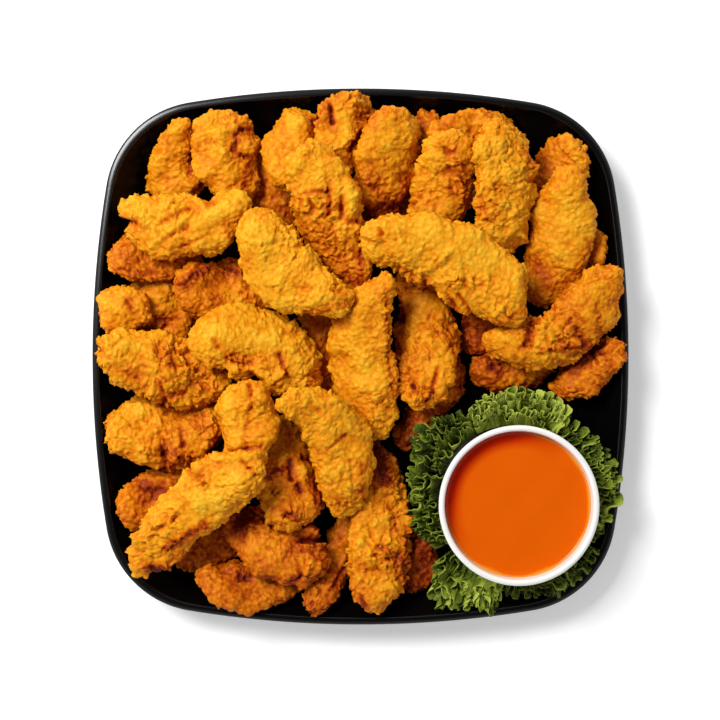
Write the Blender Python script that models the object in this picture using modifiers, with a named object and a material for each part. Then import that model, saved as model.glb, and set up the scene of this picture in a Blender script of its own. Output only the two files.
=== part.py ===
"""Breaded chicken tenders heaped on a square platter, with curly kale and a ramekin of dip.

Lengths are in millimetres until a mesh is made. The origin is under the centre of the platter, on the
table, with +X to the right and +Y to the back as the platter is seen from the front, and +Z up. The tenders
are given as they lie seen from above, lowest first. Each is then let down onto what is already there.
"""

import math

import bmesh
import bpy
import numpy as np

MM = 0.001

# Platter
PLATTER_WIDTH = 355.0
PLATTER_HEIGHT = 28.0
PLATTER_THICKNESS = 4.0
SIDE_RADIUS = 700.0
CORNER_RADIUS = 70.0
FLOOR_HALF = 148.0
LIP_WIDTH = 5.0
LIP_ROUND = 1.8
LIP_BEVEL = 1.0
WALL_POWER = 1.5
PLATTER_SEGMENTS = 60
CORNER_CROWDING = 0.1
WALL_STEPS = 4
SHARP_ANGLE = 40.0

# Ramekin and dip. A corner is given by how far it is cut back inwards and upwards
RAMEKIN_CENTRE = (102.4, -96.3)
RAMEKIN_RIM_RADIUS = 52.0
RAMEKIN_FOOT_RADIUS = 36.0
RAMEKIN_RIM_HEIGHT = 52.0
RAMEKIN_WALL = 4.0
RAMEKIN_BASE = 5.0
RAMEKIN_BELLY = 0.8
RAMEKIN_RIM_ROUND = 1.5
RAMEKIN_RIM_TOP = 2.2
RAMEKIN_FLOOR_CORNER = (5.0, 3.0)
RAMEKIN_FOOT_CORNER = (1.0, 1.0)
DIP_BELOW_RIM = 7.5
DIP_CORNER = (6.0, 3.5)
TURNED_LEVELS = 4
TURNED_STEPS = 40
MERGE_DISTANCE = 0.0001

# Space left between pieces that touch
GAP = 0.3

# Tenders, as seen from above: tail end, middle and tip of the spine, the widths near the tail, at the
# middle and near the tip, and the thickness
TENDERS = [
    ((-66, 145), (-59, 118), (-48, 78), (28, 32, 28), 16),
    ((-38, 36), (-26, 5), (-29, -28), (24, 26, 24), 16),
    ((90, 38), (81, 20), (71, 4), (25, 29, 22), 14),
    ((37, -109), (40, -133), (33, -160), (19, 24, 21), 15),
    ((-128, -131), (-105, -128), (-78, -126), (29, 32, 27), 17),
    ((46, 164), (40, 135), (29, 90), (21, 25, 23), 16),
    ((160, 60), (148, 80), (137, 107), (16, 22, 20), 15),
    ((145, 139), (133, 124), (119, 98), (33, 35, 31), 20),
    ((-140, 53), (-131, 32), (-117, 4), (33, 41, 38), 20),
    ((-174, 31), (-155, 31), (-132, 33), (26, 31, 28), 18),
    ((-167, 67), (-140, 67), (-106, 69), (31, 37, 33), 20),
    ((74, -6), (100, -10), (130, -5), (28, 31, 28), 18),
    ((129, -26), (151, -8), (172, 8), (23, 29, 26), 18),
    ((28, -61), (44, -37), (64, -1), (19, 25, 27), 18),
    ((-161, -104), (-134, -93), (-97, -75), (31, 39, 36), 20),
    ((-106, -139), (-75, -153), (-30, -140), (22, 31, 27), 18),
    ((-36, -168), (-18, -142), (-7, -104), (23, 25, 23), 16),
    ((-113, 157), (-124, 127), (-119, 85), (20, 34, 37), 20),
    ((-36, 165), (-44, 143), (-51, 110), (30, 36, 33), 20),
    ((-4, 173), (-10, 149), (-19, 117), (33, 37, 31), 20),
    ((47, 133), (72, 148), (109, 137), (26, 31, 30), 18),
    ((-171, -43), (-134, -49), (-85, -45), (33, 52, 43), 22),
    ((-173, 9), (-136, -5), (-86, -21), (29, 43, 42), 22),
    ((-54, 41), (-88, 42), (-122, 42), (38, 46, 41), 21),
    ((23, 162), (17, 127), (3, 75), (33, 40, 28), 21),
    ((60, 146), (56, 116), (44, 76), (34, 40, 37), 21),
    ((27, 56), (44, 17), (34, -35), (27, 45, 43), 22),
    ((-84, -103), (-57, -124), (-21, -138), (36, 47, 40), 21),
    ((10, -53), (14, -112), (6, -168), (21, 40, 39), 22),
    ((-60, -44), (-47, -79), (-41, -114), (36, 46, 41), 21),
    ((-88, 162), (-88, 134), (-80, 94), (40, 45, 34), 21),
    ((131, 123), (132, 82), (119, 33), (33, 43, 44), 22),
    ((80, 12), (131, 14), (163, 61), (32, 40, 40), 21),
    ((-111, 2), (-68, 9), (-32, -30), (44, 53, 45), 21),
    ((-35, 138), (-21, 94), (1, 43), (41, 47, 34), 22),
    ((84, 155), (94, 113), (90, 65), (31, 41, 36), 22),
    ((20, 53), (0, 7), (16, -53), (27, 45, 44), 22),
    ((-76, -15), (-75, -48), (-86, -86), (39, 42, 33), 21),
    ((-157, 101), (-116, 84), (-71, 103), (35, 45, 34), 20),
    ((-63, 97), (-52, 56), (-1, 35), (39, 45, 33), 22),
    ((-60, -72), (-101, -91), (-148, -143), (37, 42, 33), 21),
    ((-56, -31), (-16, -48), (-14, -107), (28, 43, 39), 20),
    ((-2, 73), (56, 65), (106, 23), (37, 51, 52), 23),
]
TENDER_RINGS = 9
TENDER_SIDES = 10
END_POWER = 4.0
SECTION_POWER = 2.3
WIDTH_STATION = 0.7
LUMP_HEIGHT = 1.5
LUMP_SHARE_UPWARD = 0.8
LUMP_SPACING = (22.0, 45.0)
LUMP_WAVES = 5

# Limits on how a tender tips, bends and rolls where it lies, in millimetres at its ends and sides
PITCH_LIMIT = 12.0
BEND_LIMIT = 5.0
ROLL_LIMIT = 7.0

# Height that a tender would rather stay up by than tip, bend or roll a millimetre
TILT_EFFORT = np.array([0.12, 0.15, 0.12])
TILT_ROUNDS = 5
TILT_CHOICES = 3

# Kale leaves round the ramekin: from and to in degrees, reach of the frilled edge from the ramekin's axis
# at both ends, height of that edge, number of ruffles
KALE_LEAVES = [
    (57, 118, 74, 74, 27, 4.0),
    (120, 160, 75, 75, 24, 3.0),
    (162, 212, 72, 60, 24, 4.0),
    (220, 261, 87, 78, 20, 3.5),
    (263, 331, 68, 66, 24, 4.0),
    (333, 415, 68, 78, 31, 5.0),
]
KALE_INNER_RADIUS = 50.0
KALE_INNER_HEIGHT = 7.0
KALE_THICKNESS = 1.2
KALE_RUFFLE = 3.2
KALE_EDGE_WAVE = 1.5
KALE_END_SHARE = 0.9
KALE_CLEARANCE = 2.6
KALE_MARGIN = 3
KALE_ACROSS = 5
KALE_STEPS_PER_RUFFLE = 4

# The height field that the pieces are let down onto
FIELD_HALF = 200
CELL = 1.0
SLIVER_AREA = 1e-9


def outline_radius(angle):
    """Distance from the platter's centre to its edge: long arcs on the sides, short ones at the corners."""
    half = PLATTER_WIDTH / 2
    side_centre = SIDE_RADIUS - half
    reach = SIDE_RADIUS - CORNER_RADIUS
    # The corner's centre lies on the diagonal, where both arcs share a tangent
    corner = (math.sqrt(2 * reach**2 - side_centre**2) - side_centre) / 2
    turned = np.abs((angle + math.pi / 4) % (math.pi / 2) - math.pi / 4)
    cosine = np.cos(turned)
    sine = np.sin(turned)
    on_side = np.sqrt(SIDE_RADIUS**2 - (side_centre * sine) ** 2) - side_centre * cosine
    off_centre = corner * (cosine - sine)
    on_corner = corner * (cosine + sine) + np.sqrt(np.maximum(CORNER_RADIUS**2 - off_centre**2, 0))
    join_across = SIDE_RADIUS * corner / reach
    join_along = SIDE_RADIUS * (corner + side_centre) / reach - side_centre
    return np.where(turned < math.atan2(join_across, join_along), on_side, on_corner)


def wall_rise(part_way):
    """Height of the platter's inside part of the way up its wall: 0 where its floor ends, 1 at the lip."""
    rise = PLATTER_HEIGHT - PLATTER_THICKNESS - LIP_BEVEL
    return PLATTER_THICKNESS + rise * np.clip(part_way, 0.0, 1.0) ** WALL_POWER


def platter_inside(x, y):
    """Height of the platter's inside under a point, and of its lip beyond that."""
    share = np.hypot(x, y) / outline_radius(np.arctan2(y, x))
    lip = PLATTER_WIDTH / 2 - LIP_WIDTH
    part_way = (share * PLATTER_WIDTH / 2 - FLOOR_HALF) / (lip - FLOOR_HALF)
    return np.where(part_way > 1.0, PLATTER_HEIGHT, wall_rise(part_way))


def clear_scene():
    for old in list(bpy.data.objects):
        bpy.data.objects.remove(old, do_unlink=True)


def make_material(name, colour, roughness, metallic=0.0):
    material = bpy.data.materials.new(name)
    material.use_nodes = True
    shader = material.node_tree.nodes["Principled BSDF"]
    shader.inputs["Base Color"].default_value = (*colour, 1.0)
    shader.inputs["Roughness"].default_value = roughness
    shader.inputs["Metallic"].default_value = metallic
    material.diffuse_color = (*colour, 1.0)
    return material


def add_object(name, mesh, material, collection):
    mesh.materials.append(material)
    piece = bpy.data.objects.new(name, mesh)
    collection.objects.link(piece)
    return piece


def mesh_from(name, points, faces):
    """A smooth-shaded mesh from points in millimetres, with its faces turned outwards."""
    mesh = bpy.data.meshes.new(name)
    mesh.from_pydata((np.asarray(points) * MM).tolist(), [], faces)
    shape = bmesh.new()
    shape.from_mesh(mesh)
    bmesh.ops.recalc_face_normals(shape, faces=shape.faces)
    shape.to_mesh(mesh)
    shape.free()
    mesh.shade_smooth()
    return mesh


def loft_faces(rings, sides):
    """Triangles between closed rings of points, each ring after the one before."""
    faces = []
    for ring in range(rings - 1):
        for side in range(sides):
            a = ring * sides + side
            b = ring * sides + (side + 1) % sides
            faces += [(a, b, b + sides), (a, b + sides, a + sides)]
    return faces


def make_platter(material, collection):
    """The platter as rings of its own outline: up the outside, over the lip and down the inside."""
    half = PLATTER_WIDTH / 2
    lip = half - LIP_WIDTH
    steps = np.linspace(0.0, 1.0, WALL_STEPS + 1)
    inside_half = FLOOR_HALF + (lip - FLOOR_HALF) * steps
    inside_height = wall_rise(steps)
    full_rise = wall_rise(1.0) - wall_rise(0.0)
    slope = np.arctan(WALL_POWER * full_rise / (lip - FLOOR_HALF) * steps ** (WALL_POWER - 1.0))
    outside_half = inside_half + PLATTER_THICKNESS * np.sin(slope)
    outside_height = inside_height - PLATTER_THICKNESS * np.cos(slope)
    profile = list(zip(outside_half, outside_height))
    profile += [(half, PLATTER_HEIGHT - LIP_ROUND), (half - LIP_ROUND / 2, PLATTER_HEIGHT - LIP_ROUND / 6)]
    profile += [(lip + LIP_BEVEL, PLATTER_HEIGHT)]
    profile += list(zip(inside_half[::-1], inside_height[::-1]))
    turn = np.arange(PLATTER_SEGMENTS) * 2 * math.pi / PLATTER_SEGMENTS
    angle = turn + CORNER_CROWDING * np.sin(4 * turn)
    radius = outline_radius(angle) / half
    points = [
        (reach * r * math.cos(a), reach * r * math.sin(a), height)
        for reach, height in profile
        for a, r in zip(angle, radius)
    ]
    faces = loft_faces(len(profile), PLATTER_SEGMENTS)
    last = (len(profile) - 1) * PLATTER_SEGMENTS
    faces.append(list(range(PLATTER_SEGMENTS)))
    faces.append(list(range(last, last + PLATTER_SEGMENTS)))
    mesh = mesh_from("platter", points, faces)
    mesh.set_sharp_from_angle(angle=math.radians(SHARP_ANGLE))
    add_object("platter", mesh, material, collection)


def turn_profile(name, profile, material, collection):
    """A turned piece on the axis of the ramekin, from a profile that runs down its outer side."""
    mesh = bpy.data.meshes.new(name)
    points = [(radius * MM, 0.0, height * MM) for radius, height in profile]
    mesh.from_pydata(points, [(i, i + 1) for i in range(len(points) - 1)], [])
    piece = add_object(name, mesh, material, collection)
    piece.location = (RAMEKIN_CENTRE[0] * MM, RAMEKIN_CENTRE[1] * MM, 0.0)
    screw = piece.modifiers.new("turn", "SCREW")
    screw.axis = "Z"
    screw.steps = TURNED_STEPS
    screw.render_steps = TURNED_STEPS
    screw.use_merge_vertices = True
    screw.merge_threshold = MERGE_DISTANCE
    screw.use_smooth_shade = True


def ramekin_outside(height):
    """Radius of the ramekin's outer side at a height above the table."""
    foot = PLATTER_THICKNESS + GAP
    share = np.clip((height - foot) / (RAMEKIN_RIM_HEIGHT - foot), 0.0, 1.0)
    return RAMEKIN_FOOT_RADIUS + (RAMEKIN_RIM_RADIUS - RAMEKIN_FOOT_RADIUS) * share**RAMEKIN_BELLY


def make_ramekin(material, collection):
    """A thick-walled glazed pot that widens from its foot to a rounded rim."""
    foot = PLATTER_THICKNESS + GAP
    inner_floor = foot + RAMEKIN_BASE
    shoulder = RAMEKIN_RIM_HEIGHT - RAMEKIN_RIM_ROUND
    floor_corner, wall_corner = RAMEKIN_FLOOR_CORNER
    foot_corner, side_corner = RAMEKIN_FOOT_CORNER
    inner_levels = np.linspace(inner_floor + wall_corner, shoulder, TURNED_LEVELS)
    inner = [(ramekin_outside(z) - RAMEKIN_WALL, z) for z in inner_levels]
    outer = [(ramekin_outside(z), z) for z in np.linspace(shoulder, foot + side_corner, TURNED_LEVELS)]
    middle = RAMEKIN_RIM_RADIUS - RAMEKIN_WALL / 2
    rim_edges = (middle - RAMEKIN_RIM_TOP / 2, middle + RAMEKIN_RIM_TOP / 2)
    profile = [(0.0, inner_floor), (inner[0][0] - floor_corner, inner_floor)]
    profile += inner
    profile += [(edge, RAMEKIN_RIM_HEIGHT) for edge in rim_edges]
    profile += outer
    profile += [(RAMEKIN_FOOT_RADIUS - foot_corner, foot), (0.0, foot)]
    turn_profile("ramekin", profile, material, collection)


def make_dip(material, collection):
    """The dip as a solid up to its level, just clear of the pot's inside."""
    bottom = PLATTER_THICKNESS + GAP + RAMEKIN_BASE + GAP
    top = RAMEKIN_RIM_HEIGHT - DIP_BELOW_RIM
    bottom_corner, side_corner = DIP_CORNER
    levels = np.linspace(top, bottom + side_corner, TURNED_LEVELS)
    side = [(ramekin_outside(z) - RAMEKIN_WALL - 2 * GAP, z) for z in levels]
    profile = [(0.0, top)] + side + [(side[-1][0] - bottom_corner, bottom), (0.0, bottom)]
    turn_profile("dip", profile, material, collection)


def tender_spine(tail, middle, tip, along):
    """A curve through tail, middle and tip at along = -1, 0 and 1, and its unit normal to the left."""
    tail, middle, tip = (np.array(p, float) for p in (tail, middle, tip))
    chord = (tip - tail) / 2
    bow = (tail + tip) / 2 - middle
    along = np.asarray(along)[:, None]
    place = middle + chord * along + bow * along**2
    heading = chord + 2 * bow * along
    heading /= np.linalg.norm(heading, axis=1)[:, None]
    return place, np.stack([-heading[:, 1], heading[:, 0]], axis=1)


def tender_width(widths, along):
    """Width along a tender, through the three widths it is given, before its ends are rounded off."""
    near_tail, middle, near_tip = widths
    k = along / WIDTH_STATION
    return middle + (near_tip - near_tail) / 2 * k + ((near_tail + near_tip) / 2 - middle) * k**2


def tender_shape(row, rng):
    """Points and triangles of one tender lying level: flat round sections along its spine, made lumpy."""
    tail, middle, tip, widths, thickness = row
    along = np.sin(np.linspace(-math.pi / 2, math.pi / 2, TENDER_RINGS + 2))[1:-1]
    round_off = np.sqrt(1 - np.abs(along) ** END_POWER)
    half_width = tender_width(widths, along) / 2 * round_off
    half_depth = thickness / 2 * round_off
    place, left = tender_spine(tail, middle, tip, along)
    angle = (np.arange(TENDER_SIDES) + 0.5) * 2 * math.pi / TENDER_SIDES
    bulge = 2 / SECTION_POWER
    across = np.sign(np.cos(angle)) * np.abs(np.cos(angle)) ** bulge
    upward = np.sign(np.sin(angle)) * np.abs(np.sin(angle)) ** bulge
    length = np.linalg.norm(np.subtract(tip, tail))
    lump = np.zeros((TENDER_RINGS, TENDER_SIDES))
    for _ in range(LUMP_WAVES):
        turns = rng.integers(1, 4)
        spacing = rng.uniform(*LUMP_SPACING)
        phase = rng.uniform(0.0, 2 * math.pi, 2)
        lengthwise = np.sin(along[:, None] * length * math.pi / spacing + phase[0])
        lump += lengthwise * np.sin(turns * angle + phase[1])
    # Two sines multiplied have an effective height of one half, and waves add up by the root of their number
    lump *= LUMP_HEIGHT / math.sqrt(LUMP_WAVES / 4)
    side = half_width[:, None] * across + lump * across
    height = half_depth[:, None] * upward + lump * upward * LUMP_SHARE_UPWARD
    points = np.empty((TENDER_RINGS, TENDER_SIDES, 3))
    points[:, :, :2] = place[:, None, :] + left[:, None, :] * side[:, :, None]
    points[:, :, 2] = height
    ends = np.array([(*tail, 0.0), (*tip, 0.0)], float)
    points = np.vstack([points.reshape(-1, 3), ends])
    faces = loft_faces(TENDER_RINGS, TENDER_SIDES)
    last = (TENDER_RINGS - 1) * TENDER_SIDES
    tail_end = TENDER_RINGS * TENDER_SIDES
    for i in range(TENDER_SIDES):
        j = (i + 1) % TENDER_SIDES
        faces.append((j, i, tail_end))
        faces.append((last + i, last + j, tail_end + 1))
    return points, faces


def shape_heights(points, faces):
    """Highest and lowest point of a closed shape over each cell of the field that it covers."""
    lowest = np.floor(points[:, :2].min(axis=0) / CELL).astype(int)
    highest = np.ceil(points[:, :2].max(axis=0) / CELL).astype(int)
    size = highest - lowest + 1
    top = np.full(size, -np.inf)
    bottom = np.full(size, np.inf)
    for face in faces:
        a, b, c = points[list(face)]
        low = np.ceil(np.minimum(np.minimum(a, b), c)[:2] / CELL).astype(int)
        high = np.floor(np.maximum(np.maximum(a, b), c)[:2] / CELL).astype(int) + 1
        area = (b[0] - a[0]) * (c[1] - a[1]) - (c[0] - a[0]) * (b[1] - a[1])
        if (high <= low).any() or abs(area) < SLIVER_AREA:
            continue
        columns = np.arange(low[0], high[0]) * CELL
        lines = np.arange(low[1], high[1]) * CELL
        x, y = np.meshgrid(columns, lines, indexing="ij")
        share_b = ((x - a[0]) * (c[1] - a[1]) - (c[0] - a[0]) * (y - a[1])) / area
        share_c = ((b[0] - a[0]) * (y - a[1]) - (x - a[0]) * (b[1] - a[1])) / area
        inside = (share_b >= 0) & (share_c >= 0) & (share_b + share_c <= 1)
        height = a[2] + share_b * (b[2] - a[2]) + share_c * (c[2] - a[2])
        first = low - lowest
        after = high - lowest
        spot = (slice(first[0], after[0]), slice(first[1], after[1]))
        top[spot] = np.where(inside, np.maximum(top[spot], height), top[spot])
        bottom[spot] = np.where(inside, np.minimum(bottom[spot], height), bottom[spot])
    return lowest, top, bottom


def spread(heights, reach=1):
    """Each cell raised to the highest of the cells round it."""
    padded = np.pad(heights, reach, mode="edge")
    rows, columns = heights.shape
    span = range(2 * reach + 1)
    return np.max([padded[i : i + rows, j : j + columns] for i in span for j in span], axis=0)


def lie_on(field, row, points, faces):
    """Let a tender down onto the field: tipped, bent and rolled so that its middle height is least."""
    tail, _, tip, widths, _ = row
    chord = np.subtract(tip, tail) / 2.0
    half_length = np.linalg.norm(chord)
    heading = chord / half_length
    centre = np.add(tip, tail) / 2.0
    lowest, top, bottom = shape_heights(points, faces)
    covered = np.isfinite(top)
    cells = np.argwhere(covered)
    place = (cells + lowest) * CELL
    start = lowest + FIELD_HALF
    window = (slice(start[0], start[0] + top.shape[0]), slice(start[1], start[1] + top.shape[1]))
    need = spread(field[window])[covered] + GAP - bottom[covered]

    def ways(place):
        """Along and across the tender from its centre, as shares of its half length and half width."""
        offset = place - centre
        along = offset @ heading / half_length
        across = offset @ np.array([-heading[1], heading[0]]) / (widths[1] / 2)
        return np.stack([along, along**2, across], axis=1)

    terms = ways(place)
    average = terms.mean(axis=0)
    limits = np.array([PITCH_LIMIT, BEND_LIMIT, ROLL_LIMIT])
    best = np.zeros(3)
    step = limits / TILT_CHOICES
    steps = np.arange(-TILT_CHOICES, TILT_CHOICES + 1)
    for _ in range(TILT_ROUNDS):
        choices = [np.clip(best[i] + step[i] * steps, -limits[i], limits[i]) for i in range(3)]
        trial = np.stack(np.meshgrid(*choices, indexing="ij"), axis=-1).reshape(-1, 3)
        lift = (need[None, :] - trial @ terms.T).max(axis=1)
        effort = np.abs(trial) @ TILT_EFFORT
        choice = np.argmin(lift + trial @ average + effort)
        best = trial[choice]
        step = step / TILT_CHOICES
    raised = lift[choice] + terms @ best
    current = field[window][covered]
    block = field[window]
    block[covered] = np.maximum(current, top[covered] + raised)
    lifted = points.copy()
    lifted[:, 2] += lift[choice] + ways(points[:, :2]) @ best
    return lifted


def make_tenders(field, material, collection):
    """All tenders, each lying on the platter and on those before it."""
    for number, row in enumerate(TENDERS, start=1):
        rng = np.random.default_rng(number)
        points, faces = tender_shape(row, rng)
        points = lie_on(field, row, points, faces)
        name = f"tender_{number:02d}"
        add_object(name, mesh_from(name, points, faces), material, collection)


def field_at(field, x, y):
    """Height of the field at places between its cells."""
    column = np.clip(np.rint(x / CELL).astype(int) + FIELD_HALF, 0, 2 * FIELD_HALF)
    line = np.clip(np.rint(y / CELL).astype(int) + FIELD_HALF, 0, 2 * FIELD_HALF)
    return field[column, line]


def make_kale_leaf(name, leaf, under, material, collection):
    """A ruffled leaf round part of the ramekin, which rises to a frilled edge that waves up and down."""
    start, end, first_reach, last_reach, edge_height, ruffles = leaf
    steps = int(ruffles * KALE_STEPS_PER_RUFFLE)
    way_round = np.linspace(0, 1, steps + 1)
    way_out = np.linspace(0, 1, KALE_ACROSS + 1)
    round_ramekin, outward = np.meshgrid(way_round, way_out, indexing="ij")
    angle = np.radians(start + (end - start) * round_ramekin)
    swell = np.sqrt(np.sin(math.pi * round_ramekin))
    turns = 2 * math.pi * ruffles * round_ramekin
    reach = first_reach + (last_reach - first_reach) * round_ramekin
    edge = reach * (KALE_END_SHARE + (1 - KALE_END_SHARE) * swell) + KALE_EDGE_WAVE * np.cos(turns)
    radius = KALE_INNER_RADIUS + (edge - KALE_INNER_RADIUS) * outward
    x = RAMEKIN_CENTRE[0] + radius * np.cos(angle)
    y = RAMEKIN_CENTRE[1] + radius * np.sin(angle)
    height = KALE_INNER_HEIGHT + (edge_height - KALE_INNER_HEIGHT) * outward
    # Its place round the ramekin also sets where a leaf's waves begin
    height += KALE_RUFFLE * outward * np.sin(turns + start)
    height = np.maximum(height, field_at(under, x, y) + KALE_CLEARANCE)
    points = np.stack([x, y, height], axis=-1).reshape(-1, 3)
    width = KALE_ACROSS + 1
    faces = []
    for i in range(steps):
        for j in range(KALE_ACROSS):
            a = i * width + j
            faces += [(a, a + width, a + width + 1), (a, a + width + 1, a + 1)]
    piece = add_object(name, mesh_from(name, points, faces), material, collection)
    shell = piece.modifiers.new("leaf thickness", "SOLIDIFY")
    shell.thickness = KALE_THICKNESS * MM
    shell.offset = 0.0


def make_field():
    """The platter's inside, as the heights that pieces lie on."""
    line = np.arange(-FIELD_HALF, FIELD_HALF + 1) * CELL
    x, y = np.meshgrid(line, line, indexing="ij")
    return platter_inside(x, y)


def build():
    clear_scene()
    collection = bpy.data.collections.new("chicken tenders platter")
    bpy.context.scene.collection.children.link(collection)
    black_glaze = make_material("black_glaze", (0.012, 0.012, 0.014), 0.15)
    white_glaze = make_material("white_glaze", (0.86, 0.85, 0.82), 0.15)
    crust = make_material("fried_crust", (0.66, 0.30, 0.05), 0.55)
    dip = make_material("orange_dip", (0.74, 0.13, 0.005), 0.25)
    leaf = make_material("kale_leaf", (0.09, 0.20, 0.03), 0.5)
    make_platter(black_glaze, collection)
    make_ramekin(white_glaze, collection)
    make_dip(dip, collection)
    field = make_field()
    make_tenders(field, crust, collection)
    under = spread(field, KALE_MARGIN)
    for number, row in enumerate(KALE_LEAVES, start=1):
        make_kale_leaf(f"kale_{number:02d}", row, under, leaf, collection)


build()
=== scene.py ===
"""A black square platter of breaded chicken tenders, with curly kale round a ramekin of orange dip.

Lengths are in metres, in the frame of the solid model: the origin is on the table under the middle of the
platter, +X is to the right, +Y to the back and +Z up. The platter is seen from straight above.
"""

import math

import bpy
import numpy as np
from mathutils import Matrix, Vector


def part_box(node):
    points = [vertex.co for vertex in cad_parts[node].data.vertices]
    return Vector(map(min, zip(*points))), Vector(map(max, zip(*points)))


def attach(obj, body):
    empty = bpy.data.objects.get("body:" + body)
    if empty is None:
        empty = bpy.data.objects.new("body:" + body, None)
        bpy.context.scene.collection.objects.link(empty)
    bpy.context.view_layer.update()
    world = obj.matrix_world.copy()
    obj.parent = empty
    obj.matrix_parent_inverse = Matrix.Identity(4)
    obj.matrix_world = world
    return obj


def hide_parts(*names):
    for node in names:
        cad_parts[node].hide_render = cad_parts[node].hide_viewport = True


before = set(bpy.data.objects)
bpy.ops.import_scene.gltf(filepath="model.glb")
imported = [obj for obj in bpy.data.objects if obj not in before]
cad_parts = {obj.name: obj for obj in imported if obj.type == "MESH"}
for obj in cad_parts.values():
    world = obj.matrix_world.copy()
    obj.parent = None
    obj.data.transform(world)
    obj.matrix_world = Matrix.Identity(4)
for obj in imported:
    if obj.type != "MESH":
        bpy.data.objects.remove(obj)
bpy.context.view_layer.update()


# Camera
# It hangs straight over the platter, a metre above the table, and its lens is set by the size at which the
# platter's rim shows.
CAMERA_HEIGHT = 1.0
PICTURE_PIXELS = 720
PIXEL_AT_RIM = 0.000661
PLATTER_CENTRE_PIXEL = (360.5, 356.5)

rim_distance = CAMERA_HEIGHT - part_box("platter")[1].z
camera_data = bpy.data.cameras.new("camera")
camera_data.lens = camera_data.sensor_width * rim_distance / (PIXEL_AT_RIM * PICTURE_PIXELS)
camera = bpy.data.objects.new("camera", camera_data)
camera.location = (
    (PICTURE_PIXELS / 2 - PLATTER_CENTRE_PIXEL[0]) * PIXEL_AT_RIM,
    (PLATTER_CENTRE_PIXEL[1] - PICTURE_PIXELS / 2) * PIXEL_AT_RIM,
    CAMERA_HEIGHT,
)
bpy.context.scene.collection.objects.link(camera)
bpy.context.scene.camera = camera


# Studio
# A pale table lit from within, a broad soft light high on the back left, and white walls under a dark
# ceiling, so that what is black and level stays black.
TABLE_SIZE = 8.0
TABLE_COLOUR = (0.93, 0.93, 0.93)
TABLE_GLOW = 0.3
KEY_PLACE = (-0.85, 0.75, 1.35)
KEY_SIZE = 0.7
KEY_POWER = 33.0
WALL_LIGHT = 0.62
CEILING_LIGHT = 0.03
WALL_TOP = 0.6
CEILING_EDGE = 0.95


class Shade:
    """An output of a shader node. Arithmetic on it adds Math nodes, and node() adds any other kind."""

    def __init__(self, tree, socket=None):
        self.tree = tree
        self.socket = socket

    def node(self, kind, inputs=None, settings=None, output=0):
        made = self.tree.nodes.new("ShaderNode" + kind)
        for name, value in (settings or {}).items():
            if name == "stops":
                elements = made.color_ramp.elements
                for _ in range(len(value) - 2):
                    elements.new(0.5)
                for element, (position, colour) in zip(elements, value):
                    element.position = position
                    element.color = (*colour, 1.0)
            else:
                setattr(made, name, value)
        for name, value in (inputs or {}).items():
            if isinstance(value, Shade):
                self.tree.links.new(value.socket, made.inputs[name])
            else:
                made.inputs[name].default_value = value
        return Shade(self.tree, made.outputs[output])

    def math(self, operation, first, second=0.0, clamp=False):
        settings = {"operation": operation, "use_clamp": clamp}
        return self.node("Math", {0: first, 1: second}, settings)

    def __add__(self, other):
        return self.math("ADD", self, other)

    def __sub__(self, other):
        return self.math("SUBTRACT", self, other)

    def __rsub__(self, other):
        return self.math("SUBTRACT", other, self)

    def __mul__(self, other):
        return self.math("MULTIPLY", self, other)

    __radd__ = __add__
    __rmul__ = __mul__

    def held(self):
        """The value kept between 0 and 1."""
        return self.math("ADD", self, 0.0, clamp=True)

    def mix(self, factor, first, second):
        """From the first colour, at factor 0, to the second, at factor 1."""
        return self.node("Mix", {0: factor, 6: first, 7: second}, {"data_type": "RGBA"}, output=2)

    def feed(self, shader, name):
        self.tree.links.new(self.socket, shader.inputs[name])


bpy.context.scene.view_settings.view_transform = "Standard"
world = bpy.data.worlds.new("studio")
bpy.context.scene.world = world
world.use_nodes = True
background = world.node_tree.nodes["Background"]
background.inputs["Color"].default_value = (1.0, 1.0, 1.0, 1.0)
sky = Shade(world.node_tree)
upward = sky.node("SeparateXYZ", {"Vector": sky.node("TexCoord", output="Generated")}, output="Z")
heights = {"From Min": WALL_TOP, "From Max": CEILING_EDGE, "To Min": WALL_LIGHT, "To Max": CEILING_LIGHT}
ceiling = sky.node("MapRange", {"Value": upward, **heights}, {"interpolation_type": "SMOOTHSTEP"})
ceiling.feed(background, "Strength")

key_data = bpy.data.lights.new("key", "AREA")
key_data.size = KEY_SIZE
key_data.energy = KEY_POWER
key = bpy.data.objects.new("key", key_data)
key.location = KEY_PLACE
key.rotation_euler = key.location.to_track_quat("Z", "Y").to_euler()
bpy.context.scene.collection.objects.link(key)

half_table = TABLE_SIZE / 2
table_mesh = bpy.data.meshes.new("table")
table_mesh.from_pydata(
    [(half_table * x, half_table * y, 0.0) for x, y in ((-1, -1), (1, -1), (1, 1), (-1, 1))],
    [],
    [(0, 1, 2, 3)],
)
table_material = bpy.data.materials.new("pale_table")
table_material.use_nodes = True
table_finish = table_material.node_tree.nodes["Principled BSDF"].inputs
table_finish["Base Color"].default_value = (*TABLE_COLOUR, 1.0)
table_finish["Roughness"].default_value = 0.9
table_finish["Emission Color"].default_value = (1.0, 1.0, 1.0, 1.0)
table_finish["Emission Strength"].default_value = TABLE_GLOW
table_mesh.materials.append(table_material)
table = bpy.data.objects.new("table", table_mesh)
bpy.context.scene.collection.objects.link(table)


# Platter
# A square melamine serving dish with bowed sides, pressed in one piece: a flat floor, a wall that curves
# up and out, and a flat lip with rounded edges. Its glaze is glossy black.
PLATTER_HALF = 0.1775
PLATTER_HEIGHT = 0.028
PLATTER_THICKNESS = 0.004
PLATTER_SIDE_RADIUS = 0.7
PLATTER_CORNER_RADIUS = 0.066
PLATTER_FLOOR_HALF = 0.148
LIP_WIDTH = 0.005
LIP_CROWN = (0.0034, 0.0015)
LIP_INNER_ROUND = 0.001
WALL_POWER = 1.5

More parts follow.
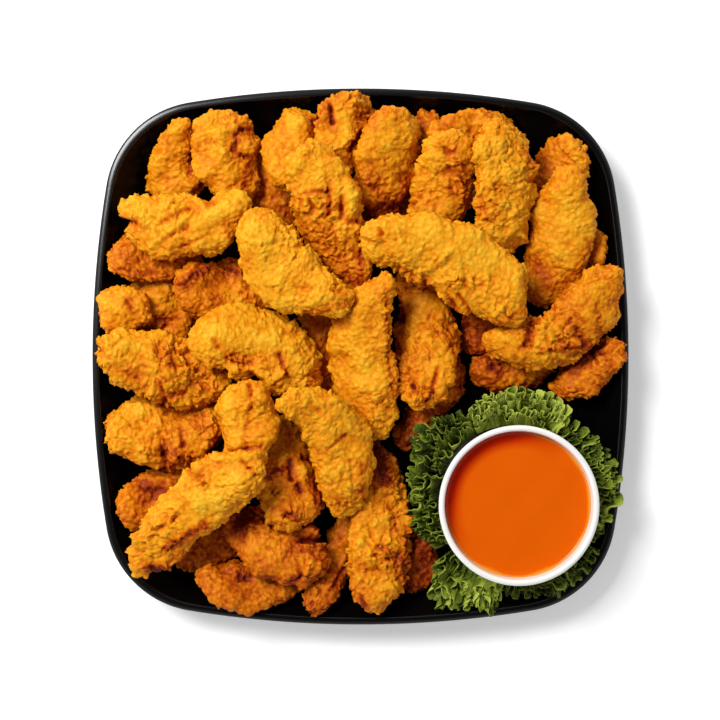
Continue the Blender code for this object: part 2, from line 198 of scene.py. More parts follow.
# Points round it, how far they crowd into the corners, and where its polish starts and how fast it grows
PLATTER_STEPS = 320
CORNER_CROWDING = 0.1
POLISH_START = 0.0262
POLISH_RISE = 1500.0


def new_material(name, **uniform):
    """A material, its first Shade and its shader, which gets the values that are the same all over."""
    material = bpy.data.materials.new(name)
    material.use_nodes = True
    shader = material.node_tree.nodes["Principled BSDF"]
    for socket, value in uniform.items():
        shader.inputs[socket.replace("_", " ").title().replace("Ior", "IOR")].default_value = value
    return material, Shade(material.node_tree), shader


def skin(name, rings, material, attributes=None):
    """A closed smooth mesh through rings of points, each joined to the next. The end rings shrink to points.

    The corners of a quad are a point, the next one round its ring, and the same two on the next ring.
    """
    count, around = rings.shape[:2]
    flat = [rings[0].mean(axis=0)[None], rings[1:-1].reshape(-1, 3), rings[-1].mean(axis=0)[None]]
    points = np.concatenate(flat)
    side = np.arange(around)
    after = (side + 1) % around
    first = 1 + np.arange(count - 3)[:, None] * around
    quads = np.stack([first + side, first + after, first + around + after, first + around + side], axis=-1)
    last = 1 + (count - 3) * around
    tail_fan = np.stack([np.zeros_like(side), 1 + after, 1 + side], axis=-1)
    tip_fan = np.stack([np.full_like(side, len(points) - 1), last + side, last + after], axis=-1)
    corners = np.concatenate([tail_fan.ravel(), quads.ravel(), tip_fan.ravel()])
    sizes = np.concatenate([np.full(around, 3), np.full(quads.size // 4, 4), np.full(around, 3)])
    mesh = bpy.data.meshes.new(name)
    mesh.vertices.add(len(points))
    mesh.vertices.foreach_set("co", points.astype(np.float32).ravel())
    mesh.loops.add(len(corners))
    mesh.loops.foreach_set("vertex_index", corners.astype(np.int32))
    mesh.polygons.add(len(sizes))
    mesh.polygons.foreach_set("loop_start", (np.cumsum(sizes) - sizes).astype(np.int32))
    for attribute, values in (attributes or {}).items():
        spread = np.concatenate([[values[0].mean()], values[1:-1].ravel(), [values[-1].mean()]])
        mesh.attributes.new(attribute, "FLOAT", "POINT").data.foreach_set("value", spread.astype(np.float32))
    mesh.update(calc_edges=True)
    mesh.validate()
    mesh.shade_smooth()
    mesh.materials.append(material)
    piece = bpy.data.objects.new(name, mesh)
    bpy.context.scene.collection.objects.link(piece)
    return piece


def stands_for(piece, node):
    """The piece takes the place of a solid and moves with the one body."""
    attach(piece, "root")
    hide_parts(node)


def platter_radius(angle):
    """Distance from the middle to the edge: a long arc on each side meets a short arc at each corner.

    The corner's centre lies on the diagonal, where both arcs share a tangent.
    """
    side_centre = PLATTER_SIDE_RADIUS - PLATTER_HALF
    reach = PLATTER_SIDE_RADIUS - PLATTER_CORNER_RADIUS
    corner = (math.sqrt(2 * reach**2 - side_centre**2) - side_centre) / 2
    off_side = np.abs((angle + math.pi / 4) % (math.pi / 2) - math.pi / 4)
    cosine = np.cos(off_side)
    sine = np.sin(off_side)
    on_side = np.sqrt(PLATTER_SIDE_RADIUS**2 - (side_centre * sine) ** 2) - side_centre * cosine
    inside_corner = np.maximum(PLATTER_CORNER_RADIUS**2 - (corner * (cosine - sine)) ** 2, 0.0)
    on_corner = corner * (cosine + sine) + np.sqrt(inside_corner)
    join_across = PLATTER_SIDE_RADIUS * corner / reach
    join_along = PLATTER_SIDE_RADIUS * (corner + side_centre) / reach - side_centre
    return np.where(off_side < math.atan2(join_across, join_along), on_side, on_corner)


def arc(centre, radius, start, end, steps=7):
    """Points of an arc between two angles in degrees, as reach and height. Two radii make an ellipse."""
    turn = np.radians(np.linspace(start, end, steps))
    return np.array(centre) + np.array(radius) * np.stack([np.cos(turn), np.sin(turn)], axis=-1)


def platter_profile():
    """Reach and height from under the middle, up the outside, over the lip and down the inside to the middle.

    The wall's height grows as the 1.5th power of the way out, and its underside is a thickness below it. The
    lip falls away outwards as a quarter of an ellipse.
    """
    lip = PLATTER_HALF - LIP_WIDTH
    way = np.linspace(0.0, 1.0, 25)
    rise = PLATTER_HEIGHT - LIP_INNER_ROUND - PLATTER_THICKNESS
    run = lip - PLATTER_FLOOR_HALF
    inside = np.stack([PLATTER_FLOOR_HALF + run * way, PLATTER_THICKNESS + rise * way**WALL_POWER], axis=-1)
    slope = np.arctan(WALL_POWER * rise / run * way ** (WALL_POWER - 1))
    under = inside + PLATTER_THICKNESS * np.stack([np.sin(slope), -np.cos(slope)], axis=-1)
    crown = arc((PLATTER_HALF - LIP_CROWN[0], PLATTER_HEIGHT - LIP_CROWN[1]), LIP_CROWN, 0, 90, 13)
    inner = arc((lip + LIP_INNER_ROUND, PLATTER_HEIGHT - LIP_INNER_ROUND), LIP_INNER_ROUND, 90, 180)
    floor = np.linspace(0.0, 1.0, 6)[:-1, None] * [[PLATTER_FLOOR_HALF, 0.0]]
    upper_floor = floor[::-1] + [[0, PLATTER_THICKNESS]]
    return np.concatenate([floor, under, crown, inner, inside[-2::-1], upper_floor])


# The lip is polished, and the inside is duller with use
black_melamine, paint, shader = new_material(
    "black_melamine", roughness=0.12, specular_ior_level=0.08, coat_roughness=0.25, coat_ior=1.6
)
place = paint.node("TexCoord", output="Object")
height = paint.node("SeparateXYZ", {"Vector": place}, output="Z")
polish = ((height - POLISH_START) * POLISH_RISE).held()
smear = paint.node("TexNoise", {"Vector": place, "Scale": 18.0, "Detail": 5.0})
grain = paint.node("TexNoise", {"Vector": place, "Scale": 900.0, "Detail": 2.0})
paint.mix(smear, (0.0008, 0.0008, 0.0008, 1), (0.0018, 0.0014, 0.0014, 1)).feed(shader, "Base Color")
(0.14 + 0.12 * smear).feed(shader, "Roughness")
(0.03 + 0.62 * polish).feed(shader, "Coat Weight")
paint.node("Bump", {"Height": grain, "Strength": 0.03, "Distance": 0.0002}).feed(shader, "Normal")

profile = platter_profile()
turn = np.linspace(0.0, 2 * math.pi, PLATTER_STEPS, endpoint=False)
turn = turn + CORNER_CROWDING * np.sin(4 * turn)
round_platter = platter_radius(turn) / PLATTER_HALF
rings = np.empty((len(profile), len(turn), 3))
rings[..., 0] = profile[:, 0, None] * round_platter * np.cos(turn)
rings[..., 1] = profile[:, 0, None] * round_platter * np.sin(turn)
rings[..., 2] = profile[:, 1, None]
stands_for(skin("black_platter", rings, black_melamine), "platter")


# Ramekin
# A thick white stoneware pot, turned and glazed, that widens from its foot to a round rim.
RAMEKIN_CENTRE = np.array([0.1024, -0.0963])
RAMEKIN_RIM_RADIUS = 0.052
RAMEKIN_FOOT_RADIUS = 0.036
RAMEKIN_TOP = 0.052
RAMEKIN_FOOT = 0.0043
RAMEKIN_WALL = 0.004
RAMEKIN_BASE = 0.005
RAMEKIN_BELLY = 0.8


def ramekin_side(height):
    """Radius of the pot's outer side: it widens as the 0.8th power of the way up."""
    way = np.clip((height - RAMEKIN_FOOT) / (RAMEKIN_TOP - RAMEKIN_FOOT), 0.0, 1.0)
    return RAMEKIN_FOOT_RADIUS + (RAMEKIN_RIM_RADIUS - RAMEKIN_FOOT_RADIUS) * way**RAMEKIN_BELLY


def ramekin_inside(height):
    """Radius of the pot's inner side: a parabola that stands upright at the rim."""
    down = np.clip((RAMEKIN_TOP - height) / (RAMEKIN_TOP - RAMEKIN_FOOT - RAMEKIN_BASE), 0.0, 1.0)
    mouth = RAMEKIN_RIM_RADIUS - RAMEKIN_WALL
    return mouth - (mouth - RAMEKIN_FOOT_RADIUS + RAMEKIN_BASE) * down**2


def turned(profile, steps=160):
    """Rings of a profile, given as radius and height, turned round the axis of the ramekin."""
    turn = np.linspace(0.0, 2 * math.pi, steps, endpoint=False)
    rings = np.empty((len(profile), steps, 3))
    rings[..., 0] = RAMEKIN_CENTRE[0] + profile[:, 0, None] * np.cos(turn)
    rings[..., 1] = RAMEKIN_CENTRE[1] + profile[:, 0, None] * np.sin(turn)
    rings[..., 2] = profile[:, 1, None]
    return rings


def ramekin_profile():
    """Radius and height from under the foot, up the outside, over a round rim and down to the inner floor."""
    rim = RAMEKIN_WALL / 2
    levels = np.linspace(RAMEKIN_FOOT + 0.001, RAMEKIN_TOP - rim, 14)
    outside = np.stack([ramekin_side(levels), levels], axis=-1)
    over = arc((RAMEKIN_RIM_RADIUS - rim, RAMEKIN_TOP - rim), rim, 0, 180, 15)[1:-1]
    floor = RAMEKIN_FOOT + RAMEKIN_BASE
    inner_levels = levels[levels > floor + 0.003][::-1]
    inside = np.stack([ramekin_inside(inner_levels), inner_levels], axis=-1)
    foot = RAMEKIN_FOOT_RADIUS - 0.001
    under = np.array([(0.0, RAMEKIN_FOOT), (foot * 0.5, RAMEKIN_FOOT), (foot, RAMEKIN_FOOT)])
    base = np.array([(inside[-1][0] - 0.005, floor), (inside[-1][0] * 0.5, floor), (0.0, floor)])
    return np.concatenate([under, outside, over, inside, base])


white_glaze, paint, shader = new_material("white_glaze", roughness=0.1, coat_weight=0.4, coat_roughness=0.04)
place = paint.node("TexCoord", output="Object")
pooled = paint.node("TexNoise", {"Vector": place, "Scale": 35.0, "Detail": 3.0})
orange_peel = paint.node("TexNoise", {"Vector": place, "Scale": 260.0, "Detail": 1.0})
paint.mix(pooled, (0.95, 0.935, 0.90, 1), (0.88, 0.86, 0.82, 1)).feed(shader, "Base Color")
(0.06 + 0.1 * pooled).feed(shader, "Roughness")
paint.node("Bump", {"Height": orange_peel, "Strength": 0.04, "Distance": 0.0003}).feed(shader, "Normal")
stands_for(skin("white_ramekin", turned(ramekin_profile()), white_glaze), "ramekin")


# Dip
# A smooth orange pepper and butter sauce, poured to about 9 mm under the rim. It clings a little way up the
# wall, where its film is thin and yellower, and that yellow film is painted brighter on the front right as
# painted light. Its edge along the back left wall is painted darker red as the painted shadow of the rim.
DIP_LEVEL = 0.0428
DIP_GAP = 0.0002
DIP_CLING = 0.0013
DIP_CLING_WIDTH = 0.0012
DIP_SWELL = 0.00025
DIP_SWELL_RATES = (190, 150)

# How far out the painted shadow of the rim starts and is full, and how fast it fades round the wall
DIP_RIM_SHADOW_START = 0.0355
DIP_RIM_SHADOW_END = 0.0420
DIP_RIM_SHADOW_SPREAD = 34.0

# How far up the wall its yellow film starts, and how fast it grows with height and, as painted light on
# the front right, fades round the wall towards the back left
DIP_FILM_START = 0.0003
DIP_FILM_RISE = 1200.0
DIP_FILM_HIGHLIGHT_SPREAD = 24.0


def dip_profile():
    """Radius and height from under the dip, up its side and in over the surface, which rises to the wall."""
    bottom = RAMEKIN_FOOT + RAMEKIN_BASE + DIP_GAP
    levels = np.linspace(bottom + 0.0035, DIP_LEVEL + DIP_CLING, 14)
    side = np.stack([ramekin_inside(levels) - DIP_GAP, levels], axis=-1)
    edge = side[-1][0]
    inward = np.concatenate([np.linspace(0.0, 4 * DIP_CLING_WIDTH, 24)[1:], np.linspace(0.3, 1.0, 20) * edge])
    top = np.stack([edge - inward, DIP_LEVEL + DIP_CLING * np.exp(-inward / DIP_CLING_WIDTH)], axis=-1)
    base = np.array([(0.0, bottom), (side[0][0] * 0.5, bottom), (side[0][0] - 0.006, bottom)])
    return np.concatenate([base, side, top])


orange_dip, paint, shader = new_material(
    "orange_dip", roughness=0.2, specular_ior_level=0.2, subsurface_weight=0.15, subsurface_scale=0.003
)
place = paint.node("TexCoord", output="Object")
swirl = paint.node("TexNoise", {"Vector": place, "Scale": 28.0, "Detail": 4.0, "Distortion": 1.5})
speck = paint.node("TexNoise", {"Vector": place, "Scale": 800.0, "Detail": 2.0})
sauce = paint.mix(swirl, (0.70, 0.100, 0.0005, 1), (0.76, 0.115, 0.001, 1))
centre = (*RAMEKIN_CENTRE, 0.0)
spot = paint.node("VectorMath", {0: place, 1: centre}, {"operation": "SUBTRACT"})
level_spot = paint.node("VectorMath", {0: spot, 1: (1.0, 1.0, 0.0)}, {"operation": "MULTIPLY"})
reach = paint.node("VectorMath", {0: level_spot}, {"operation": "LENGTH"}, output="Value")
# The sauce's edge on the back left is painted darker red: the painted shadow of the rim
diagonal = {0: spot, 1: (-0.7, 0.7, 0.0)}
back_left = paint.node("VectorMath", diagonal, {"operation": "DOT_PRODUCT"}, output="Value")
edge_share = ((reach - DIP_RIM_SHADOW_START) * (1 / (DIP_RIM_SHADOW_END - DIP_RIM_SHADOW_START))).held()
rim_shadow = (back_left * DIP_RIM_SHADOW_SPREAD - 0.1).held() * edge_share
rim_shaded_sauce = paint.mix(rim_shadow, sauce, (0.54, 0.016, 0.0002, 1))
# The thin film on the wall is yellower, and is painted brighter on the front right only, as painted light
climb = paint.node("SeparateXYZ", {"Vector": place}, output="Z") - DIP_LEVEL
film_and_highlight = ((climb - DIP_FILM_START) * DIP_FILM_RISE).held() * (0.8 - back_left * DIP_FILM_HIGHLIGHT_SPREAD).held()
paint.mix(film_and_highlight, rim_shaded_sauce, (0.88, 0.34, 0.016, 1)).feed(shader, "Base Color")
(0.16 + 0.1 * swirl).feed(shader, "Roughness")
paint.node("Bump", {"Height": speck, "Strength": 0.05, "Distance": 0.0002}).feed(shader, "Normal")
rings = turned(dip_profile())
across_rate, back_rate = DIP_SWELL_RATES
swell = DIP_SWELL * np.sin(rings[..., 0] * across_rate + 1.0) * np.sin(rings[..., 1] * back_rate)
rings[..., 2] += np.where(rings[..., 2] > DIP_LEVEL - 0.0001, swell, 0.0)
stands_for(skin("orange_dip", rings, orange_dip), "dip")


# Kale
# Curly kale leaves are tucked in round the ramekin. Each is a thin blade whose rim has grown longer than
# the leaf, so that it gathers into frills, and the frills of its folds stand over each other.
# A row has where it starts and ends in degrees, its reach from the ramekin's axis at both ends, and how
# pale it is. The fifth leaf, in the ramekin's shadow, is made darker there as painted shade.
KALE_LEAVES = [
    (57, 118, 0.073, 0.075, 1.30),
    (120, 160, 0.075, 0.075, 0.35),
    (162, 212, 0.074, 0.062, 0.40),
    (220, 261, 0.084, 0.072, 0.60),
    (263, 331, 0.064, 0.062, 0.05),
    (333, 415, 0.061, 0.070, 0.40),
]
KALE_INNER_RADIUS = 0.050

# Each fold's root and edge, as shares of the way out over the leaf, and how far its edge is lifted
KALE_FOLDS = [
    (0.00, 1.00, 0.0),
    (0.66, 1.02, 0.0035),
    (0.50, 0.86, 0.0055),
    (0.33, 0.70, 0.0065),
    (0.16, 0.52, 0.0070),
    (0.00, 0.34, 0.0065),
]

# Swells and frills: how long they are, how far they swing and the power by which they grow to the edge
KALE_SWELLS = [(0.017, 0.0032, 0.8), (0.0075, 0.0024, 1.0)]
KALE_FRILLS = [(0.0080, 0.0024, 1.0), (0.0036, 0.0010, 1.6)]

# How wide its lobes are, the stretches over which its folds wander and lift, and the patches in which it
# gathers and pales, then how far a frill is pushed along at its crests and over its neighbour
KALE_LOBE = 0.014
KALE_WANDER = 0.013
KALE_LIFT_STRETCH = 0.016
KALE_CLUMP = 0.012
KALE_PATCH = 0.010
KALE_PINCH = 0.42
KALE_OVERHANG = 0.7
KALE_CELL = 0.00055
KALE_THICKNESS = 0.0004
KALE_LOWEST = -0.002
KALE_CLEARANCE = 0.0006


def node_triangles(node):
    """Corners of a solid's triangles, three points each."""
    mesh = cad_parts[node].data
    mesh.calc_loop_triangles()
    points = np.empty(3 * len(mesh.vertices), np.float32)
    mesh.vertices.foreach_get("co", points)
    corners = np.empty(3 * len(mesh.loop_triangles), np.int32)
    mesh.loop_triangles.foreach_get("vertices", corners)
    return points.reshape(-1, 3)[corners.reshape(-1, 3)].astype(float)


def leaf_height(node, x, y, reach=0.004):
    """Height of a leaf's solid at places: the mean of its corners' heights, weighted by nearness."""
    corners = np.unique(node_triangles(node).reshape(-1, 3), axis=0)
    near = (x.ravel()[:, None] - corners[:, 0]) ** 2 + (y.ravel()[:, None] - corners[:, 1]) ** 2
    weight = np.exp(-near / (2 * reach**2)) + 1e-12
    return (weight @ corners[:, 2] / weight.sum(axis=1)).reshape(x.shape)


def scatter(cells, seed):
    """A random number from 0 to 1 for each cell, by mixing the three whole numbers that name it."""
    mixed = (cells[..., 0] * 73856093) ^ (cells[..., 1] * 19349663) ^ (cells[..., 2] * 83492791)
    mixed = (mixed ^ (seed * 26544357)) & 0x7FFFFFFF
    mixed = ((mixed ^ (mixed >> 13)) * 1274126177) & 0xFFFFFFFF
    mixed = ((mixed ^ (mixed >> 15)) * 461845907) & 0xFFFFFFFF
    return (mixed ^ (mixed >> 16)) / 0xFFFFFFFF


# A rotation that turns the cells of a cloud out of line with the axes
CELL_TURN = np.array([[0.36, 0.48, -0.8], [-0.8, 0.6, 0.0], [0.48, 0.64, 0.6]])


def cloud(points, size, seed):
    """Smooth random heights from -1 to 1: random numbers at the corners of cells, blended in between."""
    scaled = points @ CELL_TURN / size
    cell = np.floor(scaled).astype(np.int64)
    part = scaled - cell
    part = part * part * (3 - 2 * part)
    total = np.zeros(points.shape[:-1])
    for corner in np.ndindex(2, 2, 2):
        weight = np.prod(np.where(corner, part, 1 - part), axis=-1)
        total += weight * scatter(cell + np.array(corner), seed)
    return 2 * total - 1


def kale_fold(node, leaf, fold, seed):
    """One fold of a leaf: a strip that follows the ramekin over the leaf's solid and rises from root to edge.

    Clouds make its swells. Its frills are waves along the strip that wander in phase, swing in and out, and
    bulge by swinging along it at twice the rate. They grow to the edge, and more in some clumps than in
    others. Its green is painted lighter at the edge and on its crests and darker towards its root, as painted
    light and shade, and a cloud drawn out along the veins streaks it.
    """
    start, end, first_reach, last_reach, paleness_and_shade = leaf
    root, edge, lift = fold
    middle = (first_reach + last_reach) / 2
    length = middle * np.radians(end - start)
    width = (middle - KALE_INNER_RADIUS) * (edge - root)
    along = np.linspace(0.0, 1.0, int(length / KALE_CELL))[:, None]
    out = np.linspace(0.0, 1.0, int(width / KALE_CELL) + 4)[None, :]
    spot = np.stack(np.broadcast_arrays(along * length, out * width, 0.0), axis=-1)
    path = spot * [1, 0, 0]
    lobes = 0.86 + 0.14 * np.sqrt(np.sin(math.pi * along).clip(0)) + 0.08 * cloud(path, KALE_LOBE, seed)
    full_reach = (first_reach + (last_reach - first_reach) * along) * lobes
    share = root + (edge - root) * out + 0.16 * out * cloud(path, KALE_WANDER, seed + 5)
    radius = KALE_INNER_RADIUS + (full_reach - KALE_INNER_RADIUS) * share
    angle = np.radians(start + (end - start) * along)
    slide, push, rise = (np.zeros_like(radius) for _ in range(3))
    for i, (size, swing, power) in enumerate(KALE_SWELLS):
        grown = swing * out**power
        slide += grown * cloud(spot, size, seed + 10 * i + 1)
        push += 0.8 * grown * cloud(spot, size, seed + 10 * i + 2)
        rise += grown * cloud(spot, size, seed + 10 * i + 3)
    for i, (wave, swing, power) in enumerate(KALE_FRILLS):
        phase = 2 * math.pi * along * length / wave + 5.0 * cloud(spot, 1.5 * wave, seed + 10 * i + 31)
        clump = (0.95 + 1.7 * cloud(spot, KALE_CLUMP, seed + 10 * i + 32)).clip(0.15, 1.7)
        grown = swing * out**power * clump
        slide -= KALE_PINCH * grown * np.sin(2 * phase)
        push += grown * np.sin(phase)
        rise += KALE_OVERHANG * grown * np.cos(phase + 0.7)
    angle = angle + slide / radius
    radius = radius + push
    x = RAMEKIN_CENTRE[0] + radius * np.cos(angle)
    y = RAMEKIN_CENTRE[1] + radius * np.sin(angle)
    lifted = lift * out * (1 + 0.7 * cloud(path, KALE_LIFT_STRETCH, seed + 6))
    z = leaf_height(node, x, y) + np.maximum(rise, KALE_LOWEST) + lifted
    radius = np.maximum(radius, ramekin_side(z) + KALE_CLEARANCE)
    x = RAMEKIN_CENTRE[0] + radius * np.cos(angle)
    y = RAMEKIN_CENTRE[1] + radius * np.sin(angle)
    streak = cloud(spot * [1.0, 0.25, 1.0], 0.0019, seed + 50)
    # Lighter at the edge and on crests and darker at the root: painted light and shade
    fresh = 0.5 * paleness_and_shade - 0.04 + 0.42 * out**1.6 + 80.0 * rise + (0.08 + 0.2 * paleness_and_shade) * streak
    fresh += 0.30 * cloud(spot, KALE_PATCH, seed + 60)
    return np.stack([x, y, z], axis=-1), fresh


def kale_piece(name, sheets, material):
    """Open sheets of points joined in one mesh, with the green of each place, which holds painted light and
    shade.
    """
    points = []
    quads = []
    count = 0
    for grid, _ in sheets:
        rows, columns = grid.shape[:2]
        corner = count + np.arange(rows - 1)[:, None] * columns + np.arange(columns - 1)
        corners = [corner, corner + columns, corner + columns + 1, corner + 1]
        quads.append(np.stack(corners, axis=-1).reshape(-1, 4))
        points.append(grid.reshape(-1, 3))
        count += rows * columns
    mesh = bpy.data.meshes.new(name)
    mesh.from_pydata(np.concatenate(points).tolist(), [], np.concatenate(quads).tolist())
    fresh = np.concatenate([values.ravel() for _, values in sheets])
    mesh.attributes.new("fresh", "FLOAT", "POINT").data.foreach_set("value", fresh.astype(np.float32))
    mesh.shade_smooth()
    mesh.materials.append(material)
    piece = bpy.data.objects.new(name, mesh)
    bpy.context.scene.collection.objects.link(piece)
    shell = piece.modifiers.new("blade thickness", "SOLIDIFY")
    shell.thickness = KALE_THICKNESS
    shell.offset = 0.0
    return piece


curly_leaf, paint, shader = new_material("curly_leaf", roughness=0.45, specular_ior_level=0.16)
place = paint.node("TexCoord", output="Object")
# The leaf's green comes from an attribute that holds painted light and shade as well as its own tone
fresh = paint.node("Attribute", settings={"attribute_name": "fresh"}, output="Fac")
mottle = paint.node("TexNoise", {"Vector": place, "Scale": 160.0, "Detail": 4.0})
vein = paint.node("TexVoronoi", {"Vector": place, "Scale": 380.0}, {"feature": "DISTANCE_TO_EDGE"})
leaf_stops = [
    (0.0, (0.012, 0.020, 0.001)),
    (0.3, (0.050, 0.078, 0.003)),
    (0.6, (0.170, 0.225, 0.012)),
    (1.0, (0.430, 0.500, 0.070)),
]
blade = paint.node("ValToRGB", {"Fac": (fresh + 0.5 * (mottle - 0.5)).held()}, {"stops": leaf_stops})
rib = 1 - (vein * 9.0).held()
paint.mix(0.2 * rib, blade, (0.36, 0.46, 0.12, 1)).feed(shader, "Base Color")
(0.36 + 0.2 * mottle).feed(shader, "Roughness")
relief = vein + 0.5 * mottle
paint.node("Bump", {"Height": relief, "Strength": 0.5, "Distance": 0.0006}).feed(shader, "Normal")

for number, leaf in enumerate(KALE_LEAVES, start=1):
    node = f"kale_{number:02d}"
    sheets = [kale_fold(node, leaf, fold, 1000 * number + 100 * i) for i, fold in enumerate(KALE_FOLDS)]
    stands_for(kale_piece(f"curly_{node}", sheets, curly_leaf), node)


# Tenders
# Strips of chicken breast, dipped and tossed in seasoned flour and fried. The coat dries in pebbles and
# flakes over the meat, splits where the strip bends and browns most at thin ends. Its hollows and the seams
# between its pebbles are painted darker as painted shade.
# A pair for each tender, lowest first: how brown it is and how craggy, from 0 to 1. The brown of the low
# tenders that lie in shade is partly painted shade.
TENDER_LOOKS = [
    (0.55, 0.3), (0.60, 0.2), (0.75, 0.4), (0.80, 0.4), (0.60, 0.5), (0.50, 0.2), (0.45, 0.3), (0.40, 0.3),
    (0.50, 0.7), (0.35, 0.2), (0.50, 0.3), (0.60, 0.7), (0.55, 0.7), (0.65, 0.4), (0.50, 0.15), (0.50, 0.4),
    (0.55, 0.4), (0.30, 0.2), (0.30, 0.1), (0.40, 0.8), (0.40, 0.5), (0.35, 0.5), (0.30, 0.5), (0.50, 0.6),
    (0.35, 0.3), (0.30, 0.5), (0.35, 0.7), (0.58, 0.4), (0.35, 0.6), (0.40, 0.7), (0.30, 0.3), (0.25, 0.1),
    (0.35, 0.6), (0.20, 0.5), (0.28, 0.5), (0.28, 0.4), (0.25, 0.15), (0.25, 0.2), (0.22, 0.4), (0.22, 0.3),
    (0.25, 0.4), (0.25, 0.3), (0.20, 0.5),
]
